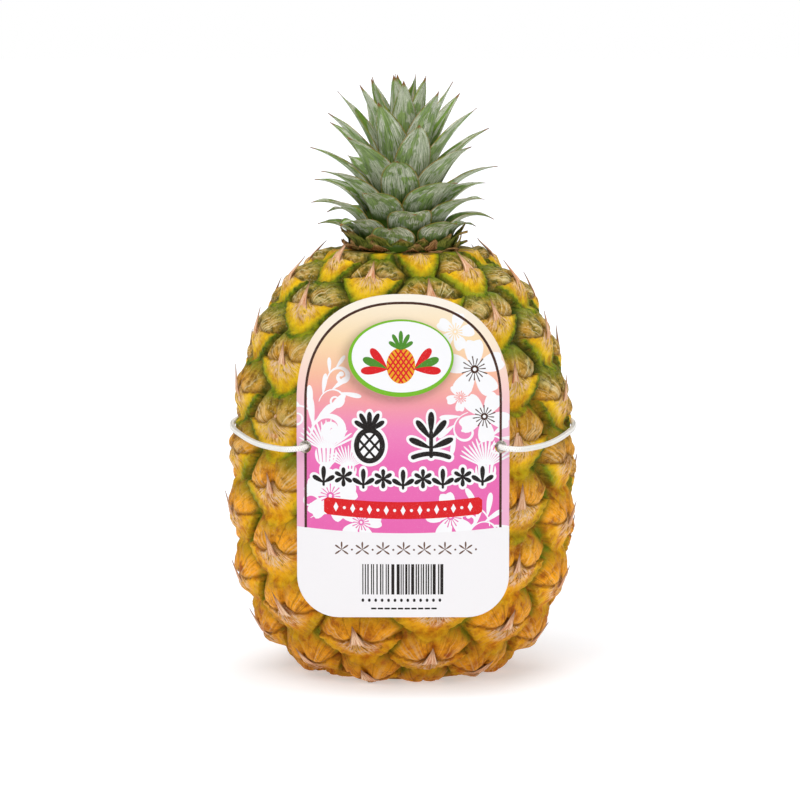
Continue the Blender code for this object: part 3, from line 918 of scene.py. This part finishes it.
# %% Leaf finish
def leaf_finish():
    look = Look("crown_leaf")
    along, side, seed = look.mask("along"), look.mask("side"), look.mask("seed")
    length_way = look.join(side * 7, along * 1.6, seed * 40)
    stripes = look.cloud(length_way, 2.6, 4.0, 0.6)
    threads = look.cloud(look.join(side * 26, along * 2.2, seed * 40), 2.2, 3.0, 0.6)
    patches = look.cloud(look.join(side * 1.3, along * 2.6, seed * 40), 1.5, 2.0)
    flecks = look.cloud(look.join(side * 9, along * 9, seed * 17), 3.0, 3.0, 0.7)

    green = look.blend("3C6006", "92BC28", stripes.ramp(0.30, 0.72))
    bloom = look.blend("6E8048", "FFFFF0", threads.ramp(0.38, 0.60))
    rubbed = patches.ramp(0.49, 0.55) * (0.75 + look.mask("inner") * 0.25)
    covered = (1 - rubbed * 0.9) * along.ramp(0.0, 0.22) * (1 - along.ramp(0.86, 1.0) * 0.6)
    rim = abs(side).ramp(0.91, 0.985) * (0.45 + flecks.ramp(0.35, 0.55) * 0.55)
    base = look.coats(
        "44600E",
        (green, along.ramp(0.02, 0.30)),
        (bloom, covered * (0.55 + threads.ramp(0.3, 0.6) * 0.37)),
        ("34400C", flecks.ramp(0.60, 0.67) * 0.8),
        (look.blend("B98A2A", "DCC463", threads), rim),
        ("9A5A26", along.ramp(0.91, 0.97) * (0.6 + flecks * 0.6)),
    )
    relief = threads * 0.8 + stripes
    return look.finish(base, 0.45 + threads * 0.15, relief, 0.25 * MM, Specular_IOR_Level=0.2)


leaf_material = leaf_finish()

# %% One leaf
LEAF_STATIONS = 61
LEAF_ACROSS = 13
MOST_WRAP = 0.95
SHEATH_STATIONS = 5  # below the root, where the leaf clasps the stem
SHEATH_STEP = 1.3 * MM
LOW_SHARE = 0.14  # of the leaves are short where they face the tag
LIFTED_SHARE = 0.12  # of them rise at their ends
FULL_SHARE = 0.35  # of them bulge at the root


def leaf_width(t):
    """Share of the half width: a broad sheath, full sides and a long fine point."""
    rise = 0.90 + 0.10 * math.sin(min(max(t, 0.0) / 0.26, 1.0) * math.pi / 2)
    fall = 1.0 if t < 0.26 else max(0.0, 1 - ((t - 0.26) / 0.74) **1.95)
    return rise * fall**1.15


def leaf_shape(index, luck):
    """Both skins of a leaf, as points, faces and masks."""
    share = index / (LEAF_COUNT - 1)
    turn = LEAF_FIRST_TURN + index * LEAF_TURN
    root, control, tip = leaf_line(share)
    widest = (8.7 - 2.1 * share) * luck.uniform(0.94, 1.06) * MM
    droop = luck.uniform(0.6, 1.2) * (1 - share) ** 2 * 4.5 * MM
    drift = luck.gauss(0, 0.045)
    wave = luck.uniform(0, math.tau)
    seed = luck.random()
    facing = max(0.0, math.cos(turn))
    whole = 1 - 0.24 * facing * max(0.0, 1 - share / LOW_SHARE)  # of its length
    lifted = (3.0 + 4.0 * facing) * MM * max(0.0, 1 - share / LIFTED_SHARE)
    bulge = 3.2 * MM * max(0.0, 1 - share / FULL_SHARE) ** 1.5
    points, masks = [], {"along": [], "side": [], "inner": [], "seed": []}
    for k in range(LEAF_STATIONS):
        t = max(0.0, (k - SHEATH_STATIONS) / (LEAF_STATIONS - 1 - SHEATH_STATIONS))
        run = t * whole
        middle = root.lerp(control, run).lerp(control.lerp(tip, run), run)
        slope = (control - root).lerp(tip - control, run).normalized()
        middle = middle - Vector((0.0, droop * t**4 - lifted * t * t))
        middle = middle + Vector((bulge * (1 - t) ** 3, 0.0))
        if k < SHEATH_STATIONS:
            down = (SHEATH_STATIONS - k) * SHEATH_STEP
            height = max(root.y - down, FRUIT_HEIGHT + 0.2 * MM)
            clasped = neck_radius(height - FRUIT_HEIGHT) + 0.7 * MM
            middle = Vector((clasped + bulge * 0.9, height))
        tooth = 0.22 * MM * (k % 2) * (t < 0.93)
        half = leaf_width(t) * widest + tooth
        thick = 1.5 * MM * (1 - t) ** 0.7 * 0.55 + 0.12 * MM
        trough = (0.4 + 1.1 * t * (1 - t) * 4) * MM * min(1.0, half / (3 * MM))
        for side, face in blade_loop(LEAF_ACROSS):
            ripple = 0.18 * MM * math.sin(9 * t + wave + 2 * side) * side * side
            off = face * 0.5 * thick * (1 - side**4) + trough * side * side * 0.8 + ripple
            radius = middle.x - slope.y * off
            wrap = min(half * abs(side) / max(middle.x, 2 * MM), MOST_WRAP)
            swung = turn + drift * t * t + math.copysign(wrap, side)
            place = around(radius, swung, middle.y + slope.x * off)
            add_point(points, masks, place, t, side, 1.0 if face > 0 else 0.0, seed)
    return points, tube_faces(LEAF_STATIONS, 2 * LEAF_ACROSS - 2), masks


luck = random.Random(5)
for index in range(LEAF_COUNT):
    points, faces, masks = leaf_shape(index, luck)
    node = f"crown_leaf_{index:02d}"
    new_piece(f"leaf_{index:02d}", points, faces, leaf_material, [node], masks)
print(LEAF_COUNT, "leaves of", len(faces), "faces")

# %% [markdown]
# ## Dried scraps
#
# Round the foot of the crown the smallest leaves have dried to brown paper, and green scales stand
# among them.  All are thin curled flakes, each one its own closed blade, gathered in one mesh.

# %% Scraps
RINGS = (
    # count, nearest and furthest start, length, half width, rise in degrees, curl, greenness
    (34, (18.0, 20.0), (3.8, 6.8), (2.2, 3.8), (5, 55), (-0.9, 0.7), (0.25, 0.9)),
    (14, (17.6, 18.6), (7.0, 10.5), (5.0, 7.0), (62, 84), (-0.7, -0.1), (0.65, 1.0)),
)
SCRAP_STATIONS = 9
SCRAP_ACROSS = 7
SCRAP_BEND = 20.0  # radius, in mm, that a scrap wraps round


def scrap_finish():
    look = Look("dried_scrap")
    along, side = look.mask("along"), look.mask("side")
    threads = look.cloud(look.join(side * 4, along * 1.5, look.mask("seed") * 30), 2.4, 4.0, 0.65)
    fibre = threads.ramp(0.35, 0.68)
    green = look.mask("seed").ramp(0.45, 0.8) * (1 - along.ramp(0.5, 0.95) * 0.8)
    brown = look.blend("6A3E14", "E6B478", fibre)
    base = look.blend(brown, look.blend("4A5E10", "A9B04A", fibre), green)
    return look.finish(base, 0.8, threads, 0.3 * MM, Specular_IOR_Level=0.25)


flakes = random.Random(23)
points, faces, masks = [], [], {"along": [], "side": [], "seed": []}
rolls = [(ring, n) for ring in RINGS for n in range(ring[0])]
for (count, starts, lengths, halves, rises, curls, greens), n in rolls:
    turn = math.tau * n / count + flakes.gauss(0, 0.07)
    start, length, half = flakes.uniform(*starts), flakes.uniform(*lengths), flakes.uniform(*halves)
    rise = math.radians(flakes.uniform(*rises))
    curl_up, seed, tear = flakes.uniform(*curls), flakes.uniform(*greens), flakes.uniform(0, 6)
    first = len(points)
    for k in range(SCRAP_STATIONS):
        t = k / (SCRAP_STATIONS - 1)
        bend = rise + curl_up * t
        radius = start + length * t * math.cos(bend)
        height = 0.4 + length * t * math.sin(bend)
        wide = half * (1 - t**1.6) * (1 + 0.18 * math.sin(9 * t + tear)) + 0.15
        for side, face in blade_loop(SCRAP_ACROSS):
            cupped = 0.7 * side * side * (1 if curl_up > 0 else -0.6)
            off = cupped + 0.25 * math.sin(5 * side + tear) + 0.14 * face * (1 - side**2)
            up = FRUIT_HEIGHT + max(height + off, 0.1) * MM
            place = around(radius * MM, turn + side * wide / SCRAP_BEND, up)
            add_point(points, masks, place, t, side, seed)
    faces += tube_faces(SCRAP_STATIONS, 2 * SCRAP_ACROSS - 2, first)
scraps = new_piece("dried_scraps", points, faces, scrap_finish(), masks=masks)
print(scraps.name, "has", len(scraps.data.polygons), "faces")

# %% [markdown]
# ## Stems
#
# The crown's stem and the cut end of the stalk are the CAD's own shapes.  They only need a finish:
# pale fibrous wood, darker between its bundles.

# %% Stem finish
def stem_finish():
    look = Look("stalk_fibres")
    place = look.place()
    bundles = look.spots(place, 620.0).ramp(0.1, 0.6)
    grain = look.cloud(place, 700.0, 4.0)
    base = look.blend("7A6436", "C9B27A", bundles * 0.7 + grain * 0.4)
    base = look.blend(base, "5B4A22", look.cloud(place, 120.0).ramp(0.55, 0.75) * 0.6)
    return look.finish(base, 0.85, bundles + grain * 0.5, 0.3 * MM)


stem_material = stem_finish()
for node in ("crown_stem", "cut_stem"):
    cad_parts[node].data.materials.clear()
    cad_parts[node].data.materials.append(stem_material)

# %% [markdown]
# ## Printed tag
#
# The tag is one sheet of coated card, bent a little round the fruit.  Its print has crisp edges,
# so each printed shape is drawn as an outline, all the outlines are cut into the sheet's own mesh,
# and every face takes the ink of the topmost shape that it lies in.  A picture would be simpler,
# but it would blur close up.  All shapes are plain ornaments: blossoms, sprigs, fruit, stars,
# dots and bars.

# %% Outline of the card
TAG_HALF_WIDTH = 38.0
TAG_BOTTOM = 30.0
TAG_HEIGHT = 116.5
TAG_ARCH_HEIGHT = 39.3
TAG_ARCH_FULLNESS = 2.3
TAG_CORNER_RADIUS = 15.0
TAG_THICKNESS = 0.5
TAG_BEND_RADIUS = 260.0
TAG_HOLE = (35.0, 91.5, 2.25)
TAG_FRONT = -67.0
ARCH_STEPS = 48
CORNER_STEPS = 12


def card_outline(inset):
    """The card's edge, or a line this many millimetres inside it."""
    points = []
    spring = TAG_BOTTOM + TAG_HEIGHT - TAG_ARCH_HEIGHT
    power = 2.0 / TAG_ARCH_FULLNESS
    wide, high = TAG_HALF_WIDTH - inset, TAG_ARCH_HEIGHT - inset
    for k in range(ARCH_STEPS + 1):
        angle = math.pi * k / ARCH_STEPS
        across = math.copysign(abs(math.cos(angle)) ** power, math.cos(angle))
        points.append((wide * across, spring + high * math.sin(angle) ** power))
    round_corner = TAG_CORNER_RADIUS - inset
    for side, first in ((-1, math.pi), (1, 1.5 * math.pi)):
        for k in range(CORNER_STEPS + 1):
            angle = first + 0.5 * math.pi * k / CORNER_STEPS
            x = side * (wide - round_corner) + round_corner * math.cos(angle)
            points.append((x, TAG_BOTTOM + inset + round_corner * (1 + math.sin(angle))))
    return points


# %% Shapes to print with
CURL_STEPS = 34


def oval(x, z, wide, high, count=40):
    """An ellipse round a point."""
    angles = [math.tau * k / count for k in range(count)]
    return [(x + wide * math.cos(t), z + high * math.sin(t)) for t in angles]


def stroke(points, widths):
    """A line with round ends that swells between the given half widths."""
    line = [np.array(p, float) for p in points]
    left, right = [], []
    for k, p in enumerate(line):
        ahead = line[min(k + 1, len(line) - 1)] - line[max(k - 1, 0)]
        ahead = ahead / (np.linalg.norm(ahead) or 1.0)
        half = np.interp(k / (len(line) - 1), np.linspace(0, 1, len(widths)), widths)
        across = np.array([-ahead[1], ahead[0]]) * half
        left.append(tuple(p + across))
        right.append(tuple(p - across))
    ends = []
    for p, q, half in ((line[-1], line[-2], widths[-1]), (line[0], line[1], widths[0])):
        heading = math.atan2(*(p - q)[::-1])
        sweep = [heading + math.radians(a) for a in (60, 30, 0, -30, -60)]
        ends.append([(p[0] + half * math.cos(a), p[1] + half * math.sin(a)) for a in sweep])
    return left + ends[0] + right[::-1] + ends[1]


def curl(x, z, size, start, sweep):
    """Points of a curling tendril: it turns by sweep degrees while it closes in."""
    points, heading = [], math.radians(start)
    place = np.array([x, z], float)
    for k in range(CURL_STEPS):
        points.append(tuple(place))
        t = k / (CURL_STEPS - 1)
        ahead = np.array([math.cos(heading), math.sin(heading)])
        place = place + ahead * size / CURL_STEPS * (1 - 0.55 * t)
        heading += math.radians(sweep) / CURL_STEPS * (1 + 1.6 * t)
    return points


def petal(x, z, length, wide, heading, notch=0.12):
    """A broad petal with a shallow notch at its end."""
    points = []
    for k in range(24):
        t = math.tau * k / 24
        along = (1 - math.cos(t)) / 2
        dent = notch * math.exp(-(((t - math.pi) / 0.35) ** 2))
        u = length * (along - dent)
        v = wide * math.sin(t) * (0.35 + 0.65 * along)
        c, s = math.cos(math.radians(heading)), math.sin(math.radians(heading))
        points.append((x + u * c - v * s, z + u * s + v * c))
    return points


# %% Inks
INKS = {
    "paper": "F8F5F6",
    "white": "FCFBFC",
    "line": "46281C",
    "green": "79BC28",
    "black": "1B1412",
    "red": "DE1A20",
    "gold": "EFA81E",
    "leaf": "4E8E2A",
    "brown": "6A4A3A",
}
# Colour of the printed ground at these heights, in millimetres.
GROUND = {
    62: "EC69B2",
    86: "EE70B6",
    98: "F388BC",
    108: "F7A2A6",
    118: "FBC0A0",
    130: "FDDFB2",
    146: "FEF2DA",
}
ground_inks = np.array([tint(code)[:3] for code in GROUND.values()])


def ground_ink(z):
    """Colour of the printed ground at these heights."""
    return np.stack([np.interp(z, list(GROUND), ink) for ink in ground_inks.T], axis=-1)


print(len(INKS), "inks over a ground of", len(GROUND), "tones")

# %% What is printed
prints = []  # (outline, ink), the later ones on top


def put(ink, *shapes):
    prints.extend((shape, ink) for shape in shapes)


def blossom(x, z, size, turn, heart="ground"):
    """A blossom of five notched petals with a ring of stamens."""
    for k in range(5):
        put("white", petal(x, z, size, size * 0.40, turn + 72 * k))
    for k in range(15):
        heading = math.radians(turn + 8 + 24 * k)
        c, s = math.cos(heading), math.sin(heading)
        far = size * (0.40 if k % 2 else 0.33)
        ends = [(x + c * reach, z + s * reach) for reach in (size * 0.12, far)]
        put(heart, stroke(ends, [0.12, 0.22]))
    put(heart, oval(x, z, size * 0.13, size * 0.13, count=16))
    put("white", oval(x, z, size * 0.06, size * 0.06, count=10))


def scroll(x, z, size, start, sweep, thick, leaflets=0):
    """A tendril that curls up to a round end, with leaflets along its outer side."""
    line = curl(x, z, size, start, sweep)
    put("white", stroke(line, [0.15, 0.5 * thick, thick, 0.8 * thick, 0.5 * thick]))
    put("white", oval(*line[-1], 1.1 * thick, 1.0 * thick, count=18))
    for k in range(leaflets):
        at = 3 + 4 * k
        (x, z), (next_x, next_z) = line[at : at + 2]
        ahead = math.degrees(math.atan2(next_z - z, next_x - x))
        side = -40 if sweep > 0 else 40
        put("white", petal(x, z, size * 0.22, size * 0.035, ahead + side, 0.0))


def thistle(x, z, size):
    """A seed head: a round cup under a brush of fine bristles."""
    for k in range(15):
        heading = 90 + (k - 7) * 9
        put("white", petal(x, z, size * (1.25 - 0.05 * (k % 3)), size * 0.055, heading, 0.0))
    put("white", oval(x, z - size * 0.12, size * 0.42, size * 0.46, count=28))
    for k in range(-2, 3):
        foot, top = (x + k * size * 0.13, z - size * 0.4), (x + k * size * 0.17, z + size * 0.1)
        put("ground", stroke([foot, top], [0.1, 0.25]))


scroll(-33, 95, 50, 88, -340, 1.7, 2)
scroll(-33, 96, 44, 62, 300, 0.5, 4)
scroll(-30, 108, 34, 70, -300, 0.5, 3)
scroll(-27, 116, 26, 76, -260, 0.9, 2)
thistle(-27.5, 90, 9.5)
thistle(-19.5, 84, 7.0)
scroll(-31, 80, 30, 40, -260, 0.5, 3)
blossom(-26, 74, 10.5, 10)
blossom(-15, 64.5, 8.0, 75)
scroll(-33, 66, 26, 30, 220, 0.5, 2)
scroll(31, 63, 40, 96, 280, 0.8, 3)
scroll(24, 61, 34, 60, -280, 0.5, 3)
blossom(17, 66.5, 9.5, 30)
scroll(23, 104, 34, 200, 250, 0.5, 3)
thistle(29.5, 84, 9.0)
scroll(27, 92, 30, 60, -250, 0.5, 3)
blossom(25.5, 119.5, 11.5, 20, heart="line")
blossom(29.0, 102.5, 10.0, 60, heart="line")
blossom(18.5, 133, 7.5, 5)
blossom(20.5, 109.5, 5.5, 50)
print(len(prints), "shapes of blossoms and sprigs")

# %% Lower part, frame line and badge
GROUND_FOOT = 60.6
PAST_EDGE = TAG_HALF_WIDTH + 1.0
FRAME_LINE = (2.7, 3.6)  # its outer and its inner side, from the edge of the card
FRAME_FOOT = 62.4

across_card = np.linspace(-PAST_EDGE, PAST_EDGE, 41)
lower = [(x, GROUND_FOOT + 2.2 * (x / TAG_HALF_WIDTH) ** 2) for x in across_card]
put("paper", [(-PAST_EDGE, TAG_BOTTOM - 1), (PAST_EDGE, TAG_BOTTOM - 1), *lower[::-1]])
outer, inner = (card_outline(inset)[: ARCH_STEPS + 1] for inset in FRAME_LINE)
far, near_x = (TAG_HALF_WIDTH - inset for inset in FRAME_LINE)
feet = [(x, FRAME_FOOT) for x in (-far, -near_x, near_x, far)]
put("line", [*outer, *feet[:2], *inner[::-1], *feet[2:]])

badge_first = len(prints)  # what is printed before it takes the badge's shadow
BADGE = (-0.8, 123.6, 18.8, 13.9)  # middle, half width and half height
badge_x, badge_z, badge_wide, badge_high = BADGE
put("green", oval(*BADGE, count=72))
put("white", oval(badge_x + 0.25, badge_z + 0.45, badge_wide - 1.05, badge_high - 1.15, count=72))

# %% Fruit drawn on the badge
def little_fruit(x, z, size):
    """A plain drawing of a pineapple: a body with crossed lines and a tuft of leaves."""
    wide, high, low = 0.27 * size, 0.34 * size, z - 0.12 * size
    put("gold", oval(x, low, wide, high))
    for k in (-2, -1, 0, 1, 2):
        for way in (-1, 1):
            run = [(k * 0.36 * wide + way * t * 0.9 * wide, t * high) for t in np.linspace(-1, 1, 60)]
            run = [(x + u, low + v) for u, v in run if (u / wide) ** 2 + (v / high) ** 2 < 0.9]
            put("red", stroke([run[0], run[-1]], [0.016 * size, 0.016 * size]))
    for heading, reach in ((90, 0.36), (62, 0.33), (118, 0.33), (34, 0.27), (146, 0.27)):
        put("leaf", petal(x, low + 0.88 * high, reach * size, 0.055 * size, heading, 0.0))


little_fruit(badge_x, badge_z - 0.4, 19.0)
for side in (-1, 1):
    for heading, ink in ((38, "red"), (66, "leaf"), (94, "red")):
        put(ink, petal(badge_x + side * 4.9, badge_z - 4, 9.4, 2.0, 90 - side * heading, 0.0))

# %% Bold ornaments with a pale rim
bold = []  # functions that draw an ornament, widened by some millimetres


def bold_line(points, half):
    """A bold line of this half width."""
    bold.append(lambda grow: stroke(points, [half + grow, half + grow]))


def bold_oval(x, z, wide, high, half):
    """A bold ring, as two arcs that overlap at their ends."""
    for first in (0.0, math.pi):
        arc = [first - 0.06 + (math.pi + 0.12) * k / 20 for k in range(21)]
        bold_line([(x + wide * math.cos(a), z + high * math.sin(a)) for a in arc], half)


def bold_leaf(x, z, length, wide, heading):
    """A bold leaf that grows from this point."""

    def draw(grow):
        c, s = math.cos(math.radians(heading)), math.sin(math.radians(heading))
        return petal(x - c * grow, z - s * grow, length + 2 * grow, wide + grow, heading, 0.0)

    bold.append(draw)


# a whole fruit on the left and a leafy shoot on the right
bold_oval(-12.0, 92.2, 4.6, 5.5, 0.95)
for side in (-1, 1):
    bold_line([(-12 - side * 4.2, 89.6), (-12 + side * 2.4, 97.0)], 0.42)
    bold_line([(-12 - side * 2.4, 87.4), (-12 + side * 4.2, 94.8)], 0.42)
for heading, reach in ((90, 7.0), (62, 7.2), (118, 7.2), (34, 6.4), (146, 6.4)):
    bold_leaf(-12.0, 97.4, reach, 1.25, heading)
bold_line([(10 + 7.6 * math.sin(k / 8), 88.4 + 0.9 * math.cos(k / 4)) for k in range(-8, 9)], 0.85)
bold_line([(10, 88.4), (10, 97)], 0.7)
bold_leaf(10.0, 96.0, 8.4, 1.55, 90)
for heading, low in ((52, 94.5), (128, 94.5), (24, 91.2), (156, 91.2)):
    bold_leaf(10.0, low, 8.6, 1.55, heading)
# a row of blossoms and sprouts under them
for k in range(9):
    x = (k - 4) * 7.1
    low = 80.2 + 0.0014 * x * x
    if k % 2:
        for heading in range(30, 390, 60):
            bold_leaf(x, low, 3.5, 1.0, heading)
    else:
        bold_line([(x, low - 3.4), (x, low - 1.0)], 0.45)
        for heading, reach in ((90, 6.0), (32, 4.6), (148, 4.6)):
            bold_leaf(x, low - 2.6, reach, 1.15, heading)
PALE_RIM = 1.05
for ink, grow in (("white", PALE_RIM), ("black", 0.0)):
    put(ink, *[draw(grow) for draw in bold])
print(len(bold), "bold strokes and leaves")

# %% Banner, ornament row and bars
BANNER_HALF = 27  # of its width, without its round ends
BANNER_DEPTH = 3.1  # to each side of its middle line
BAR_FOOT, BAR_TOP = 38.4, 49.4
BARS = (-14.6, 13.4)  # from left to right


def banner_height(x):
    """Height of the banner's middle line, which sags a little."""
    return 68.8 + 1.7 * (x / 28.0) ** 2


along_banner = np.linspace(-BANNER_HALF, BANNER_HALF, 31)
top_edge = [(x, banner_height(x) + BANNER_DEPTH) for x in along_banner]
low_edge = [(x, banner_height(x) - BANNER_DEPTH) for x in along_banner[::-1]]
end = BANNER_HALF + 1.3
end_top, end_low = (banner_height(BANNER_HALF) + off for off in (2.1, -2.1))
put("red", [*top_edge, (end, end_top), (end, end_low), *low_edge, (-end, end_low), (-end, end_top)])
for x in np.linspace(-24, 24, 17):
    z = banner_height(x)
    if int(round(x / 3)) % 2:
        put("white", oval(x, z, 0.55, 0.55, count=14))
    else:
        put("white", [(x - 0.9, z), (x, z - 1.7), (x + 0.9, z), (x, z + 1.7)])
for k in range(7):
    x = -22.0 + k * 7.4
    for heading in (90, 35, 145, 215, 325):
        put("brown", petal(x, 54.6, 2.9, 0.42, heading, 0.0))
    put("brown", oval(x + 3.7, 54.6, 0.38, 0.38, count=12))
bars = random.Random(31)
x = BARS[0]
while x < BARS[1]:
    width = bars.choice((0.40, 0.50, 0.80, 1.10))
    right = x + width
    put("black", [(x, BAR_FOOT), (right, BAR_FOOT), (right, BAR_TOP), (x, BAR_TOP)])
    x += width + bars.choice((0.33, 0.50, 0.80))
for k in range(13):
    put("black", oval(-14.4 + 2.3 * k, 36.3, 0.50, 0.62, count=14))
for k in range(10):
    put("black", stroke([(-11.2 + 2.4 * k, 33.3), (-9.8 + 2.4 * k, 33.3)], [0.32, 0.32]))
print(len(prints), "printed shapes in all")

# %% Cut the outlines into the card
def inside(shape, x, z):
    """Which of the points lie inside the outline, by how often it winds round them."""
    edge = np.array(shape, float)
    following = np.roll(edge, -1, axis=0)
    found = np.zeros(len(x), bool)
    low, high = edge.min(axis=0), edge.max(axis=0)
    box = np.where((x > low[0]) & (x < high[0]) & (z > low[1]) & (z < high[1]))[0]
    px, pz = x[box], z[box]
    wound = np.zeros(len(box), int)
    for (ax, az), (bx, bz) in zip(edge, following):
        if ax == bx:
            continue
        crossing = (ax > px) != (bx > px)
        wound += (crossing & (pz < (bz - az) * (px - ax) / (bx - ax) + az)) * (1 if ax > bx else -1)
    found[box] = wound != 0
    return found


hole_x, hole_z, hole_radius = TAG_HOLE
holes = [oval(side * hole_x, hole_z, hole_radius, hole_radius, count=28) for side in (-1, 1)]
edge_line = card_outline(0.0)
flat_points, cuts = [], []
for shape in [edge_line, *holes, *[shape for shape, ink in prints]]:
    first = len(flat_points)
    flat_points += [Vector((float(x), float(z))) for x, z in shape]
    cuts += [(first + k, first + (k + 1) % len(shape)) for k in range(len(shape))]
GRID_STEP = 1.6  # points between the outlines, so that the card bends smoothly
for x in np.arange(-38.4, 38.5, GRID_STEP):
    shift = 0.4 * GRID_STEP * (round(x / GRID_STEP) % 2)
    flat_points += [Vector((x, z + shift)) for z in np.arange(29.5, 147.5, GRID_STEP)]
cut_points, _, cut_faces, *_ = delaunay_2d_cdt(flat_points, cuts, [], 0, 1e-5)
cut_points = np.array([tuple(p) for p in cut_points])
cut_faces = np.array([tuple(f) for f in cut_faces])
centre = cut_points[cut_faces].mean(axis=1)
kept = inside(edge_line, *centre.T)
for hole in holes:
    kept &= ~inside(hole, *centre.T)
cut_faces, centre = cut_faces[kept], centre[kept]
print("card cut into", len(cut_faces), "faces")

# %% Ink of every face
on_top = np.full(len(cut_faces), -1)
for k, (shape, ink) in enumerate(prints):
    on_top[inside(shape, *centre.T)] = k
corner_x, corner_z = cut_points[cut_faces].transpose(2, 0, 1)
ground = ground_ink(corner_z)
face_ink = ground.copy()
for k, (shape, ink) in enumerate(prints):
    if ink != "ground":
        face_ink[on_top == k] = tint(INKS[ink])[:3]
unprinted = on_top == -1
BEYOND_PALER = 0.38  # the ground is paler outside the frame line
BADGE_SHADOW = (1.0, 1.1, 3.4)  # how far left, down and wide, in millimetres
left, down, soft = BADGE_SHADOW
off_x, off_z = (corner_x - badge_x + left) / badge_wide, (corner_z - badge_z + down) / badge_high
shadow = np.clip(1 - (np.hypot(off_x, off_z) - 1) * badge_high / soft, 0, 1) ** 2 * 0.6
shadow = np.where((on_top < badge_first)[:, None], shadow, 0.0)[..., None]
face_ink = face_ink * (1 - shadow) + ground * 0.35 * shadow
beyond = ~inside(card_outline(sum(FRAME_LINE) / 2), *centre.T) & unprinted
face_ink[beyond] = face_ink[beyond] * (1 - BEYOND_PALER) + BEYOND_PALER
print(int(unprinted.sum()), "faces show the ground")

# %% Card finish
def card_finish():
    look = Look("coated_card")
    place = look.place()
    mottle = look.cloud(place, 260.0, 3.0)
    fleck = look.cloud(place, 2400.0, 2.0)
    base = look.blend(look.colour("ink"), "E9E4E2", fleck.ramp(0.55, 0.8) * 0.10)
    relief = mottle + fleck * 0.3
    return look.finish(base, 0.42 + mottle * 0.12, relief, 0.03 * MM, Specular_IOR_Level=0.2)


# %% Card piece
def bent(x, z, behind):
    """A point of the flat card on its bend, this far behind its front face."""
    arc = TAG_BEND_RADIUS - np.sqrt(TAG_BEND_RADIUS**2 - x * x)
    return np.stack([x, TAG_FRONT + arc + behind, z], axis=-1) * MM


used, compact = np.unique(cut_faces, return_inverse=True)
compact = compact.reshape(-1, 3)
flat_card = cut_points[used]
count = len(used)
front = bent(flat_card[:, 0], flat_card[:, 1], 0.0)
back = bent(flat_card[:, 0], flat_card[:, 1], TAG_THICKNESS)
sides_of = {}
for tri in compact:
    for a, b in ((tri[0], tri[1]), (tri[1], tri[2]), (tri[2], tri[0])):
        if sides_of.pop((b, a), None) is None:
            sides_of[(a, b)] = True
walls = [(b, a, a + count, b + count) for a, b in sides_of]
faces = [*compact, *(compact[:, ::-1] + count), *walls]
points = np.concatenate([front, back])
card = new_piece("printed_card", points, faces, card_finish(), ["hang_tag"], smooth=False)
CARD_TONE = 0.825  # coated board gives back a little less than its inks' nominal shade
bare = np.tile(tint(INKS["paper"])[:3], (3 * len(compact) + 4 * len(walls), 1))
inks = np.concatenate([face_ink.reshape(-1, 3), bare]) * CARD_TONE
inks = np.concatenate([inks, np.ones((len(inks), 1))], axis=1)
kept_ink = card.data.color_attributes.new("ink", "FLOAT_COLOR", "CORNER")
kept_ink.data.foreach_set("color", inks.ravel())
print(card.name, "has", len(card.data.polygons), "faces")
